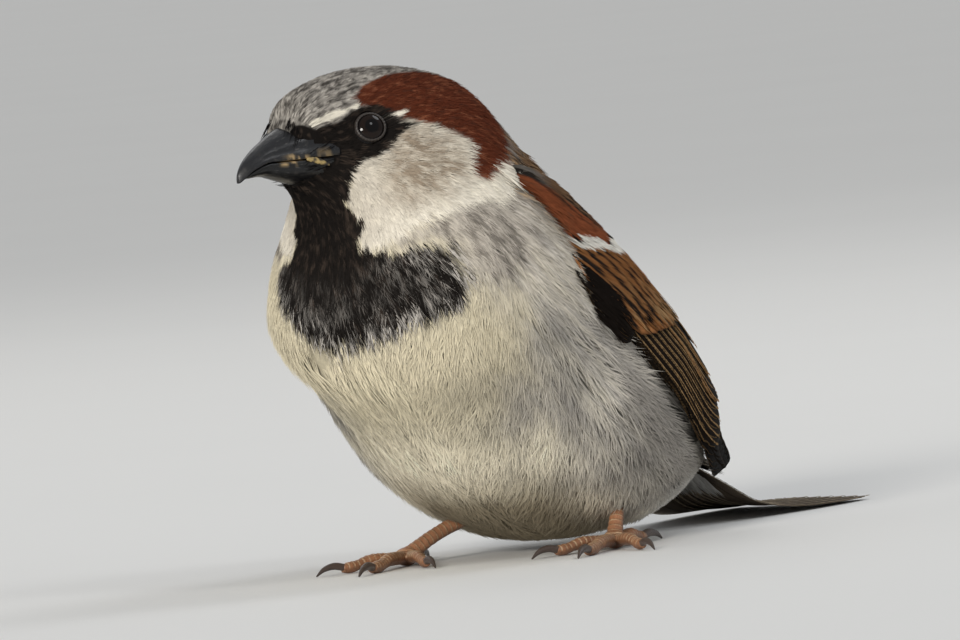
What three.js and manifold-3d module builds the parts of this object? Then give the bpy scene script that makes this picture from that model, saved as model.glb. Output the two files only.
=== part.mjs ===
// A male house sparrow, life size, standing with its weight low over both feet and its head turned
// to its own right. Millimetres, +Z up. The bird's breast faces -Y and its left side is +X.
//
// Most shapes are lofts through named stations along the body. A place on the bird is given as
// (side, ahead, up): millimetres to the bird's left, in front of the point between its feet, and
// above the floor. The last step moves the origin under the middle of the whole bird.

import * as THREE from 'three';
import { mergeVertices } from 'three/addons/utils/BufferGeometryUtils.js';
import { LoftGeometry } from 'three/addons/geometries/LoftGeometry.js';
import Module from 'manifold-3d';

const manifold = await Module();
manifold.setup();

// ---------------------------------------------------------------- driving sizes

const GAP = 0.3; // clearance between neighbouring pieces
const DEGREE = Math.PI / 180;

// The neck: the head turns about a vertical axis, and the neck takes up the turn.
const HEAD_TURN = 17 * DEGREE;
const NECK_PIVOT_AHEAD = 8;
const TURN_FULL_AT = 3.6; // station where the whole turn is reached
const TURN_ENDS_AT = 7.0; // station where the body is straight again

// The body's sections, from the bill's base to the tail's base. Each runs from a point on the top
// of the bird to one on its underside, both as [ahead, up]. half is its half-width, wing the
// half-width out to the folded wing, square 1 for an ellipse and less for a squarer side, and egg
// how much wider it is below its middle.
const STATIONS = [
  { name: 'bill base', top: [35.0, 65.3], bottom: [33.4, 56.4], half: 4.3, wing: 4.3, square: 0.9, egg: 0.0 },
  { name: 'lores', top: [32.5, 69.0], bottom: [31.1, 54.3], half: 5.1, wing: 5.1, square: 0.85, egg: 0.02 },
  { name: 'eyes', top: [25.8, 71.4], bottom: [29.3, 51.4], half: 6.6, wing: 6.6, square: 0.8, egg: 0.06 },
  { name: 'crown', top: [18.2, 72.2], bottom: [28.5, 47.9], half: 9.0, wing: 9.0, square: 0.8, egg: 0.12 },
  { name: 'cheeks', top: [10.4, 71.5], bottom: [29.2, 44.1], half: 12.7, wing: 12.7, square: 0.82, egg: 0.15 },
  { name: 'hind crown', top: [2.8, 68.6], bottom: [31.4, 40.1], half: 15.9, wing: 15.9, square: 0.86, egg: 0.12 },
  { name: 'nape', top: [-3.1, 61.8], bottom: [33.6, 35.8], half: 19.0, wing: 19.2, square: 0.9, egg: 0.08 },
  { name: 'mantle', top: [-9.5, 53.7], bottom: [32.2, 29.4], half: 22.0, wing: 22.2, square: 0.92, egg: 0.04 },
  { name: 'back', top: [-18.9, 46.1], bottom: [19.8, 19.6], half: 22.9, wing: 23.2, square: 0.92, egg: 0.0 },
  { name: 'lower back', top: [-28.1, 36.3], bottom: [3.7, 7.4], half: 24.4, wing: 24.6, square: 0.92, egg: -0.02 },
  { name: 'rump', top: [-36.1, 26.4], bottom: [-11.9, 1.6], half: 22.0, wing: 23.0, square: 0.92, egg: -0.04 },
  { name: 'tail coverts', top: [-43.0, 19.6], bottom: [-26.7, 2.2], half: 15.6, wing: 19.2, square: 0.95, egg: -0.04 },
  { name: 'tail base', top: [-49.0, 14.8], bottom: [-39.0, 7.0], half: 7.5, wing: 17.0, square: 1.0, egg: 0.0 },
];
const HEAD_ENDS = 4.55;
const NECK_ENDS = 5.9;
const TRUNK_ENDS = 9.9;
const CUT = 0.07; // a thin cut between two nodes of the body, in stations
const BODY_SIDES = 32;
const BODY_STEP = 0.34;

// Each eye is a ball sunk into the side of the head.
const EYE = { station: 2.59, angle: 75 * DEGREE, radius: 3.0, sunk: 2.0 };

// The bill: the tip's place, then sizes of the two mandibles. Along them, distances run back
// from the tip into the face.
const BILL = {
  tipAhead: 43.3, tipUp: 58.2, length: 14.2, halfWidth: 4.9, culmen: 7.4, gonys: 3.1, seamUp: 1.9, hook: 0.7,
};

// The folded wing lies on the body between a lower and an upper edge, angles round the section
// from the top of the back, and is WING.thick thick.
const WING = {
  starts: 5.5, covertsEnd: 7.9, tertialsEnd: 10.6, ends: 11.85, thick: 1.7, edgeThick: 0.8,
  lower: [[5.5, 80], [6, 88], [7, 96], [8, 96], [9, 99], [10, 104], [11, 110], [11.85, 118]],
  upper: [[5.5, 70], [6, 60], [7, 45], [8, 33], [9, 33], [10, 45], [11, 72], [11.85, 105]],
  share: 0.48, // how much of the width behind the coverts the tertials and secondaries take
};

// The tail: a shallow fan of twelve feathers, laid down to the floor at its tip.
const TAIL = {
  path: [[-38.5, 15.0], [-46, 11.0], [-54, 6.7], [-61, 3.2], [-69, 1.5], [-81, 0.8], [-93, 0.5]],
  half: [6.2, 7.2, 8.4, 9.6, 10.8, 12.2, 13.2], thick: [2.8, 2.4, 2.0, 1.8, 1.5, 1.3, 1.0],
  notch: 3.2, arch: 1.6,
};

// The legs. hub is the ball of the foot, and heel the joint hidden in the belly feathers.
const LEGS = {
  left: { hub: [15.6, -9.0], heel: [12.4, -19.5, 13.0], toeHeading: 16 },
  right: { hub: [-13.2, 1.0], heel: [-6.5, -13.5, 7.6], toeHeading: 10 },
};
const FOOT = { hubUp: 1.35, hubRadius: 2.3, hubHeight: 1.6, shankTop: 1.25, shankFoot: 1.15 };
const TOES = [
  // heading is the angle from straight ahead, away from the bird's middle
  { name: 'inner', heading: -36, length: 9.6, claw: 4.2, radius: 0.86 },
  { name: 'middle', heading: -1, length: 13.2, claw: 5.2, radius: 0.95 },
  { name: 'outer', heading: 35, length: 9.8, claw: 4.2, radius: 0.86 },
  { name: 'hind', heading: 170, length: 8.4, claw: 6.2, radius: 1.0 },
];

// ---------------------------------------------------------------- materials

const finish = (color, roughness) => new THREE.MeshStandardMaterial({ color, roughness, metalness: 0 });
const FINISH = {
  crown: finish(0x83807b, 0.85),
  neck: finish(0xb9b3a8, 0.9),
  underparts: finish(0xbab2a1, 0.9),
  rump: finish(0x8d8579, 0.9),
  coverts: finish(0x8a4526, 0.75),
  tertials: finish(0x6f4c2f, 0.7),
  primaries: finish(0x2b231d, 0.65),
  tail: finish(0x5c5044, 0.7),
  bill: finish(0x1d1d20, 0.4),
  eye: finish(0x0d0a08, 0.05),
  shank: finish(0x8a5b3e, 0.6),
  claw: finish(0x3a332f, 0.4),
};

// ---------------------------------------------------------------- curves

const place = (side, ahead, up) => new THREE.Vector3(side, -ahead, up);
const lerp = THREE.MathUtils.lerp;
const smooth = THREE.MathUtils.smoothstep;

// A smooth value through evenly spaced values: the uniform Catmull-Rom spline.
function along(values, at) {
  const last = values.length - 1;
  const i = Math.min(Math.max(Math.floor(at), 0), last - 1);
  const f = at - i;
  const before = i > 0 ? values[i - 1] : 2 * values[0] - values[1];
  const after = i + 2 <= last ? values[i + 2] : 2 * values[last] - values[last - 1];
  const [b, c] = [values[i], values[i + 1]];
  return b + 0.5 * f * (c - before + f * (2 * before - 5 * b + 4 * c - after + f * (3 * (b - c) + after - before)));
}

// A straight-line reading of a table of [at, value] pairs.
function reading(table, at) {
  const i = Math.min(Math.max(table.findIndex(([x]) => x > at), 1) - 1, table.length - 2);
  const j = at >= table[table.length - 1][0] ? table.length - 2 : i;
  const [[x0, y0], [x1, y1]] = [table[j], table[j + 1]];
  return lerp(y0, y1, THREE.MathUtils.clamp((at - x0) / (x1 - x0), 0, 1));
}

const columns = {};
for (const key of ['half', 'wing', 'square', 'egg']) columns[key] = STATIONS.map((s) => s[key]);
for (const key of ['top', 'bottom']) {
  columns[key + 'Ahead'] = STATIONS.map((s) => s[key][0]);
  columns[key + 'Up'] = STATIONS.map((s) => s[key][1]);
}

// Turns a place of the straight bird with the neck, by the share that its station takes.
function turned(side, ahead, up, station) {
  const turn = HEAD_TURN * smooth(-station, -TURN_ENDS_AT, -TURN_FULL_AT);
  const [c, s] = [Math.cos(turn), Math.sin(turn)];
  const reach = ahead - NECK_PIVOT_AHEAD;
  return place(side * c - reach * s, NECK_PIVOT_AHEAD + side * s + reach * c, up);
}

// The point of the body's surface at a station and an angle from the top, lifted off it by lift.
function onBody(station, angle, lift = 0, width = 'half') {
  const top = [along(columns.topAhead, station), along(columns.topUp, station)];
  const bottom = [along(columns.bottomAhead, station), along(columns.bottomUp, station)];
  const reach = [(top[0] - bottom[0]) / 2, (top[1] - bottom[1]) / 2];
  const grow = 1 + lift / Math.hypot(...reach);
  const [c, s] = [Math.cos(angle), Math.sin(angle)];
  const side = Math.sign(s) * Math.abs(s) ** along(columns.square, station);
  const half = (along(columns[width], station) + lift) * (1 - along(columns.egg, station) * c);
  return turned(
    half * side, (top[0] + bottom[0]) / 2 + reach[0] * grow * c, (top[1] + bottom[1]) / 2 + reach[1] * grow * c,
    station,
  );
}

// ---------------------------------------------------------------- solids

const steps = (from, to, count) => Array.from({ length: count + 1 }, (_, i) => lerp(from, to, i / count));

// A closed skin through rings of points, wound so that its faces look out.
function loft(rings) {
  const middle = (ring) => ring.reduce((sum, p) => sum.add(p), new THREE.Vector3()).divideScalar(ring.length);
  const onward = middle(rings[1]).sub(middle(rings[0]));
  const [first] = rings;
  const winding = first.reduce(
    (sum, p, i) => sum.add(new THREE.Vector3().crossVectors(p, first[(i + 1) % first.length])), new THREE.Vector3(),
  );
  const wound = winding.dot(onward) > 0 ? rings : rings.map((ring) => [...ring].reverse());
  return new LoftGeometry(wound, { capStart: true, capEnd: true });
}

// A geometry as a manifold solid.
function solid(geometry) {
  const bare = new THREE.BufferGeometry()
    .setAttribute('position', geometry.attributes.position).setIndex(geometry.index);
  const merged = mergeVertices(bare, 1e-3);
  return new manifold.Manifold(new manifold.Mesh({
    numProp: 3, vertProperties: merged.attributes.position.array, triVerts: new Uint32Array(merged.index.array),
  }));
}

function meshOf(shape, name, material) {
  const whole = shape.decompose().sort((a, b) => b.volume() - a.volume())[0];
  const { vertProperties, triVerts, numProp } = whole.getMesh();
  const positions = new Float32Array((vertProperties.length / numProp) * 3);
  for (let i = 0; i < positions.length / 3; i++) {
    positions.set(vertProperties.subarray(i * numProp, i * numProp + 3), i * 3);
  }
  const geometry = new THREE.BufferGeometry()
    .setAttribute('position', new THREE.BufferAttribute(positions, 3))
    .setIndex(new THREE.BufferAttribute(triVerts, 1));
  geometry.computeVertexNormals();
  const mesh = new THREE.Mesh(geometry, material);
  mesh.name = name;
  return mesh;
}

// A stretch of the body between two stations, grown by lift.
function bodyPiece(from, to, lift = 0) {
  const count = Math.max(2, Math.round((to - from) / BODY_STEP));
  const ring = (station) => steps(0, 2 * Math.PI, BODY_SIDES).slice(1).map((a) => onBody(station, a, lift));
  return solid(loft(steps(from, to, count).map(ring)));
}

// One mandible: half-oval sections from the tip to the root inside the face, flat along the seam
// where the two meet.
function mandible(upper, grow = 0) {
  const first = upper ? 0.12 : BILL.hook + 0.3;
  const section = (back) => {
    const half = BILL.halfWidth * (back / BILL.length) ** 0.62 * (upper ? 1 : 0.93) + grow;
    const rise = BILL.seamUp * smooth(back, -0.6, 5);
    const droop = upper ? BILL.hook * (1 - smooth(back, 0, 2)) : 0;
    const height = upper
      ? BILL.culmen * (back / 11) ** 0.6 - rise + droop
      : BILL.gonys * ((back - first) / 9) ** 0.75 + 0.12;
    const sign = upper ? 1 : -1;
    const edge = BILL.tipUp + rise - droop + sign * (GAP / 2 - grow);
    return steps(0, Math.PI, 10).map((a) => turned(
      half * Math.cos(a), BILL.tipAhead - back,
      edge + sign * (Math.max(height, 0.3) + 2 * grow) * Math.sin(a) ** 0.9, 0,
    ));
  };
  return solid(loft(steps(0, 1, 9).map((f) => section(lerp(first + 0.05, BILL.length, f ** 1.35)))));
}

// The middle of an eyeball, sunk straight into the head from the place of the eye on it.
function eyeCentre(sign) {
  const small = 0.01;
  const at = (station, angle) => onBody(station, sign * angle);
  const surface = at(EYE.station, EYE.angle);
  const back = at(EYE.station + small, EYE.angle).sub(surface);
  const down = at(EYE.station, EYE.angle + small).sub(surface);
  const inward = back.cross(down).multiplyScalar(sign).normalize();
  return surface.addScaledVector(inward, EYE.sunk);
}

function eyeball(sign, grow = 0) {
  const ball = new THREE.SphereGeometry(EYE.radius + grow, 16, 11);
  return solid(ball.translate(...eyeCentre(sign)));
}

// A shell of the folded wing between two stations, and between two edges given as functions.
function wingShell(sign, from, to, lower, upper, count) {
  const ring = (station) => {
    const full = lerp(WING.edgeThick, WING.thick, smooth(station, WING.starts, 6.6) * smooth(-station, -WING.ends - 0.4, -10.4));
    const thick = (v) => lerp(WING.edgeThick, full, Math.sin(Math.PI * v) ** 0.6);
    const at = (v, lift) => onBody(station, sign * lerp(lower(station), upper(station), v) * DEGREE, lift, 'wing');
    const across = steps(0, 1, 7);
    return [...across.map((v) => at(v, GAP + thick(v))), ...across.reverse().map((v) => at(v, GAP))];
  };
  return solid(loft(steps(from, to, count).map(ring)));
}

// A round-sectioned limb along a curve, with radii read along it, flat where it meets the floor.
function limb(points, radii, sides = 8, count = 8) {
  const curve = new THREE.CatmullRomCurve3(points);
  const ring = (f) => {
    const centre = curve.getPoint(f);
    const forward = curve.getTangent(f);
    const right = new THREE.Vector3().crossVectors(forward, new THREE.Vector3(0, 0, 1)).normalize();
    const up = new THREE.Vector3().crossVectors(right, forward).normalize();
    const radius = along(radii, f * (radii.length - 1));
    return steps(0, 2 * Math.PI, sides).slice(1).map((a) => {
      const p = centre.clone().addScaledVector(right, radius * Math.cos(a)).addScaledVector(up, radius * Math.sin(a));
      p.z = Math.max(p.z, 0);
      return p;
    });
  };
  return solid(loft(steps(0, 1, count).map(ring)));
}

// ---------------------------------------------------------------- the bird

const bird = new THREE.Group();
const add = (shape, name, material) => bird.add(meshOf(shape, name, material));

// Head, bill and eyes.
const bills = { upper: mandible(true), lower: mandible(false) };
let head = bodyPiece(0, HEAD_ENDS - CUT);
for (const upper of [true, false]) head = head.subtract(mandible(upper, GAP));
for (const sign of [1, -1]) head = head.subtract(eyeball(sign, GAP));
add(head, 'head', FINISH.crown);
add(bills.upper, 'bill_upper', FINISH.bill);
add(bills.lower, 'bill_lower', FINISH.bill);
for (const [side, sign] of [['left', 1], ['right', -1]]) add(eyeball(sign), `eye_${side}`, FINISH.eye);

// Neck, trunk and rump.
add(bodyPiece(HEAD_ENDS, NECK_ENDS - CUT), 'neck', FINISH.neck);
add(bodyPiece(NECK_ENDS, TRUNK_ENDS - CUT), 'trunk', FINISH.underparts);
add(bodyPiece(TRUNK_ENDS, STATIONS.length - 1), 'rump', FINISH.rump);
const bodyAndGap = bodyPiece(NECK_ENDS - CUT, STATIONS.length - 1, GAP);

// Folded wings.
for (const [side, sign] of [['left', 1], ['right', -1]]) {
  const lower = (t) => reading(WING.lower, t);
  const upper = (t) => reading(WING.upper, t);
  const middle = (t) => lerp(upper(t), lower(t), WING.share);
  const margin = 1.2; // degrees left between the tertials and the primaries
  add(wingShell(sign, WING.starts, WING.covertsEnd - CUT, lower, upper, 9), `wing_${side}_coverts`, FINISH.coverts);
  add(
    wingShell(sign, WING.covertsEnd, WING.tertialsEnd, (t) => middle(t) - margin, upper, 8),
    `wing_${side}_tertials`, FINISH.tertials,
  );
  add(
    wingShell(sign, WING.covertsEnd, WING.ends, lower, middle, 11), `wing_${side}_primaries`, FINISH.primaries,
  );
}

// Tail: sections across a path that curves down to the floor, notched at the tip.
function tail() {
  const last = TAIL.path.length - 1;
  const across = 10;
  const ring = (f) => {
    const [ahead, up] = [0, 1].map((k) => along(TAIL.path.map((p) => p[k]), f * last));
    const half = along(TAIL.half, f * last);
    const thick = along(TAIL.thick, f * last);
    const arch = TAIL.arch * (1 - f);
    const at = (lift) => (v) => place(
      half * v, ahead + TAIL.notch * (1 - Math.abs(v)) * smooth(f, 0.8, 1),
      Math.max(up - arch * v * v + lift * (1 - 0.7 * v * v), 0),
    );
    const spread = steps(-1, 1, across);
    return [...spread.map(at(thick / 2)), ...spread.reverse().map(at(-thick / 2))];
  };
  return solid(loft(steps(0, 1, 14).map(ring)));
}
add(tail().subtract(bodyAndGap), 'tail', FINISH.tail);

// Legs and feet.
for (const [side, sign] of [['left', 1], ['right', -1]]) {
  const leg = LEGS[side];
  const hub = place(leg.hub[0], leg.hub[1], FOOT.hubUp);
  const heel = place(...leg.heel);
  const knee = hub.clone().lerp(heel, 0.35);
  knee.z += 0.5;
  const shank = limb([hub, knee, heel], [FOOT.shankFoot, FOOT.shankFoot, FOOT.shankTop, 1.7], 10, 6);
  const pad = new THREE.SphereGeometry(1, 14, 8).scale(FOOT.hubRadius, FOOT.hubRadius, FOOT.hubHeight);
  const ball = solid(pad.translate(hub.x, hub.y, hub.z));
  add(shank.add(ball).subtract(bodyAndGap).trimByPlane([0, 0, 1], 0), `shank_${side}`, FINISH.shank);
  for (const toe of TOES) {
    const heading = (leg.toeHeading + sign * toe.heading) * DEGREE;
    const reach = (distance, up) => place(
      leg.hub[0] + distance * Math.sin(heading), leg.hub[1] + distance * Math.cos(heading), up,
    );
    const start = FOOT.hubRadius + GAP + 0.5;
    const r = toe.radius;
    add(
      limb(
        [reach(start, 1.3), reach(start + toe.length * 0.3, 1.5), reach(start + toe.length * 0.6, 0.85),
          reach(toe.length + 1.4, 0.75)],
        [r * 0.85, r, r * 1.02, r * 0.86, r * 0.95, r * 0.72],
      ),
      `toe_${side}_${toe.name}`, FINISH.shank,
    );
    const clawStart = toe.length + 1.4 + GAP;
    add(
      limb(
        [reach(clawStart, 0.95), reach(clawStart + toe.claw * 0.4, 1.2), reach(clawStart + toe.claw * 0.75, 0.9),
          reach(clawStart + toe.claw, 0.12)],
        [r * 0.66, r * 0.6, r * 0.4, 0.12], 8, 6,
      ),
      `claw_${side}_${toe.name}`, FINISH.claw,
    );
  }
}

// ---------------------------------------------------------------- origin

// The origin is on the floor, under the middle of the bird's outline.
const outline = new THREE.Box3().setFromObject(bird);
const centre = outline.getCenter(new THREE.Vector3());
bird.position.set(-centre.x, -centre.y, -outline.min.z);

export default bird;
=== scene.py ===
"""A male house sparrow, life size, standing low over both feet with its head turned to its right.

The bird's breast faces -Y and its left side is +X. Shapes are worked out in millimetres and become
metres when they go into a mesh. A place on the body is a station, which runs from 0 at the bill's
base to 12 at the tail's base, and an angle round the section from the top, positive on the left.
"""

from __future__ import annotations

import logging
import math
from dataclasses import dataclass, field, fields
from enum import Enum
from typing import Any, Sequence

import bpy
import numpy as np
from mathutils import Matrix, Vector


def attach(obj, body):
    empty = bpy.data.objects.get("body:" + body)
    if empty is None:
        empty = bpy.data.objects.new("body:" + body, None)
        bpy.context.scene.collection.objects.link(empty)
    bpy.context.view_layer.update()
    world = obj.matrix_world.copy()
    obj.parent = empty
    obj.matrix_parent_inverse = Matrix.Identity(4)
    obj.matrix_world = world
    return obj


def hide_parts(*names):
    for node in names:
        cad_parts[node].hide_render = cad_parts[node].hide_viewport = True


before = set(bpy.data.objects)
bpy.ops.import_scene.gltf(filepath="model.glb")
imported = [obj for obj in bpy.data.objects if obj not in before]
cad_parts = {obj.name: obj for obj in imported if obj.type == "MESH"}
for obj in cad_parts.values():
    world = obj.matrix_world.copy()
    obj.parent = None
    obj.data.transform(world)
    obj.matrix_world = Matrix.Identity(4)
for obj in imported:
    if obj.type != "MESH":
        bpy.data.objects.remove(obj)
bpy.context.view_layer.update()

Array = np.ndarray
Colour = tuple[float, float, float]
Points = tuple[tuple[float, float], ...]
Material = bpy.types.Material
log = logging.getLogger("sparrow")

MM = 0.001  # metres in a millimetre
SHIFT = (-0.689269, -25.656422)  # from the point between the feet to the model's origin
LAST = 12.0  # the last station


# ---- small maths


def ramp(x: Array, low: float, high: float) -> Array:
    """Smooth step: 3u^2 - 2u^3 of u, which goes from 0 at low to 1 at high."""
    u = np.clip((x - low) / (high - low), 0.0, 1.0)
    return u * u * (3.0 - 2.0 * u)


def blend(a: Array, b: Array, share: Array) -> Array:
    """a where share is 0 and b where it is 1, in proportion between."""
    return a + (b - a) * share


def window(x: Array, low: float, high: float, soft: float) -> Array:
    """1 between low and high, falling smoothly to 0 over soft beyond each."""
    return ramp(x, low - soft, low) * (1.0 - ramp(x, high, high + soft))


def along(values: Array, at: Array) -> Array:
    """A smooth value through evenly spaced values: the uniform Catmull-Rom spline.

    Args:
        values: The values at 0, 1, 2 and so on.
        at: Where to read them; beyond the ends the first and last steps go on straight.

    Returns:
        The spline's value at each place.
    """
    last = len(values) - 1
    i = np.clip(np.floor(at).astype(int), 0, last - 1)
    f = at - i
    before = np.where(i > 0, values[np.maximum(i - 1, 0)], 2 * values[0] - values[1])
    after = np.where(i + 2 <= last, values[np.minimum(i + 2, last)], 2 * values[last] - values[last - 1])
    b, c = values[i], values[i + 1]
    bend = 2 * before - 5 * b + 4 * c - after + f * (3 * (b - c) + after - before)
    return b + 0.5 * f * (c - before + f * bend)


def over(base: Array, top: Array, share: Array) -> Array:
    """Colours laid over others: base + (top - base) * share, with a share for each row."""
    return base + (top - base) * np.reshape(share, (-1, 1))


def linear(*display: float) -> Array:
    """A display colour of 0 to 255 as linear light: ((c + 0.055) / 1.055) ^ 2.4, or c / 12.92 if dark."""
    c = np.array(display) / 255
    return np.where(c < 0.0404, c / 12.92, ((c + 0.055) / 1.055) ** 2.4)


def chance(seed: int, count: int, width: int = 1) -> Array:
    """Even random numbers from 0 to 1 in count rows, the same on each run."""
    return np.random.default_rng(seed).random((count, width))


def scatter(count: int) -> tuple[Array, Array]:
    """Even places in a unit square: the fractions of 1, 2, 3 and so on times two irrational steps."""
    n = np.arange(1, count + 1)
    return (n * 0.7548776662466927) % 1.0, (n * 0.5698402909980532) % 1.0


def circle(count: int) -> Array:
    """Even angles round a circle, from 0."""
    return np.arange(count) / count * 2 * np.pi


def with_ends(values: Array, tip: float, root: float) -> Array:
    """A tube's values in the order of its vertices: the rings', the tip's and the root's."""
    return np.concatenate([values.ravel(), [tip, root]])


def cloud(points: Array, cell: float, seed: int = 0) -> Array:
    """Soft noise of -1 to 1: random values on a lattice of that cell, eased between its corners.

    Args:
        points: Places, one row each, of any number of coordinates up to 3.
        cell: The lattice's step, in the same unit.
        seed: Chooses the lattice's values.

    Returns:
        One value for each row.
    """
    p = points / cell + 57.3 * (seed + 1)
    low = np.floor(p).astype(np.int64)
    f = p - low
    f = f * f * (3 - 2 * f)
    dims = p.shape[1]
    total = np.zeros(len(p))
    for corner in range(2**dims):
        bits = np.array([(corner >> k) & 1 for k in range(dims)])
        at = low + bits
        mixed = np.full(len(p), seed * 974_634_777 + 12_345, dtype=np.int64)
        for k, prime in zip(range(dims), (73_856_093, 19_349_663, 83_492_791)):
            mixed = mixed ^ (at[:, k] * prime)
        mixed = (mixed ^ (mixed >> 13)) * 1_274_126_177
        value = ((mixed ^ (mixed >> 16)) & 0xFFFF) / 32767.5 - 1.0
        total += value * np.prod(np.where(bits, f, 1 - f), axis=1)
    return total


def polygon_depth(points: Array, outline: Array) -> Array:
    """How deep points lie in a closed outline: distance to its nearest edge, negative outside.

    Args:
        points: (n, 2) places.
        outline: (m, 2) corners in order.

    Returns:
        (n,) signed distances.
    """
    a = outline[None]
    b = np.roll(outline, -1, axis=0)[None]
    p = points[:, None]
    edge = b - a
    share = np.clip(((p - a) * edge).sum(-1) / np.maximum((edge**2).sum(-1), 1e-9), 0, 1)
    distance = np.sqrt((((a + edge * share[..., None]) - p) ** 2).sum(-1)).min(1)
    straddles = (a[..., 1] > p[..., 1]) != (b[..., 1] > p[..., 1])
    rise = np.where(np.abs(edge[..., 1]) < 1e-9, 1e-9, edge[..., 1])
    crossing = a[..., 0] + edge[..., 0] * (p[..., 1] - a[..., 1]) / rise
    inside = (straddles & (p[..., 0] < crossing)).sum(1) % 2 == 1
    return np.where(inside, distance, -distance)


def unit(vectors: Array) -> Array:
    """The vectors at length 1."""
    return vectors / np.maximum(np.linalg.norm(vectors, axis=-1, keepdims=True), 1e-12)


# ---- meshes


@dataclass
class Shell:
    """Closed bodies of one mesh, in millimetres, with their paint and maps by vertex."""

    points: Array
    quads: Array
    tris: Array
    paint: dict[str, Array] = field(default_factory=dict)
    maps: dict[str, Array] = field(default_factory=dict)
    normals: Array | None = None  # shading normals by vertex, where they aren't the faces' own

    @property
    def triangles(self) -> int:
        """How many triangles the shell has."""
        return 2 * len(self.quads) + len(self.tris)

    def outward(self) -> Shell:
        """The shell with its faces turned out: they are flipped if its signed volume is negative."""
        p = self.points - self.points.mean(0)
        both = np.concatenate([self.tris, self.quads[:, [0, 1, 2]], self.quads[:, [0, 2, 3]]])
        a, b, c = (p[both[:, k]] for k in range(3))
        if np.einsum("ij,ij->", a, np.cross(b, c)) < 0:
            self.quads, self.tris = self.quads[:, ::-1], self.tris[:, ::-1]
        return self

    def tinted(self, rgb: Array) -> Shell:
        """The shell with a colour for each vertex, or one for them all, as its paint Tint."""
        rows = np.clip(rgb + 0 * self.points, 0, 1)
        self.paint["Tint"] = np.concatenate([rows, np.ones((len(rows), 1))], 1)
        return self


def joined(shells: Sequence[Shell]) -> Shell:
    """Several shells as one mesh."""
    starts = np.cumsum([0] + [len(s.points) for s in shells])
    return Shell(
        np.concatenate([s.points for s in shells]),
        np.concatenate([s.quads + n for s, n in zip(shells, starts)]),
        np.concatenate([s.tris + n for s, n in zip(shells, starts)]),
        {k: np.concatenate([s.paint[k] for s in shells]) for k in shells[0].paint},
        {k: np.concatenate([s.maps[k] for s in shells]) for k in shells[0].maps},
    )


def bundle(rings: Array, tips: Array, roots: Array | None = None) -> Shell:
    """Many closed tubes: neighbouring rings are joined by quads, and the ends run to a point.

    Args:
        rings: (tubes, rings, points of a ring, 3) places.
        tips: (tubes, 3) points beyond the last rings.
        roots: The same before the first rings, or None for a flat end there.

    Returns:
        The shell. Its vertices are, tube by tube, the rings', the tip and then the root.
    """
    count, stages, around = rings.shape[:3]
    parts = [rings.reshape(count, -1, 3), tips[:, None]]
    if roots is not None:
        parts.append(roots[:, None])
    points = np.concatenate(parts, 1)
    k = np.arange(around)
    nxt = (k + 1) % around
    stage = np.arange(stages - 1)[:, None] * around
    quads = np.stack([stage + k, stage + nxt, stage + around + nxt, stage + around + k], -1).reshape(-1, 4)
    tip, end = stages * around, (stages - 1) * around
    tris = [np.stack([np.full(around, tip), end + k, end + nxt], -1)]
    if roots is not None:
        tris.append(np.stack([np.full(around, tip + 1), nxt, k], -1))
    else:
        fan = np.arange(1, around - 1)
        tris.append(np.stack([np.zeros_like(fan), fan + 1, fan], -1))
    tris = np.concatenate(tris)
    offset = np.arange(count)[:, None, None] * points.shape[1]
    shell = Shell(points.reshape(-1, 3), (quads + offset).reshape(-1, 4), (tris + offset).reshape(-1, 3))
    return shell.outward()


def tube(rings: Array) -> Shell:
    """One closed tube, whose ends run to the middles of its last and first rings."""
    return bundle(rings[None], rings[-1].mean(0)[None], rings[0].mean(0)[None])


def placed(name: str, data: Any) -> Any:
    """A new object of the data, in the scene."""
    obj = bpy.data.objects.new(name, data)
    bpy.context.scene.collection.objects.link(obj)
    return obj


class Piece:
    """A shell's way into Blender as a named object that rides on the bird."""

    @staticmethod
    def mesh(name: str, shell: Shell) -> bpy.types.Mesh:
        """A mesh of the shell, in metres and shaded smooth, with its paint and maps."""
        mesh = bpy.data.meshes.new(name)
        loops = np.concatenate([shell.quads.ravel(), shell.tris.ravel()]).astype(np.int32)
        sides = np.repeat([4, 3], [len(shell.quads), len(shell.tris)])
        starts = (np.cumsum(sides) - sides).astype(np.int32)
        mesh.vertices.add(len(shell.points))
        mesh.vertices.foreach_set("co", (shell.points * MM).astype(np.float32).ravel())
        mesh.loops.add(len(loops))
        mesh.loops.foreach_set("vertex_index", loops)
        mesh.polygons.add(len(starts))
        mesh.polygons.foreach_set("loop_start", starts)
        mesh.polygons.foreach_set("use_smooth", np.ones(len(starts), dtype=bool))
        mesh.update(calc_edges=True)
        for key, rgba in shell.paint.items():
            layer = mesh.attributes.new(key, "FLOAT_COLOR", "POINT")
            layer.data.foreach_set("color", rgba.astype(np.float32).ravel())
        for key, uv in shell.maps.items():
            layer = mesh.uv_layers.new(name=key)
            layer.data.foreach_set("uv", uv[loops].astype(np.float32).ravel())
        if shell.normals is not None:
            mesh.normals_split_custom_set_from_vertices(shell.normals.astype(np.float32))
        return mesh

    @classmethod
    def make(cls, name: str, shell: Shell, finish: Material, slot: str, nodes: Sequence[str] = ()) -> None:
        """Adds a piece of the bird.

        Args:
            name: The piece's name.
            shell: Its shape.
            finish: Its material.
            slot: A material slot's name; not used.
            nodes: The frame's nodes that it stands for.
        """
        obj = placed(name, cls.mesh(name, shell))
        obj.data.materials.append(finish)
        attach(obj, "root")
        if nodes:
            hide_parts(*nodes)
        log.info("%s: %d triangles", name, shell.triangles)


# ---- shaders


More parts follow.
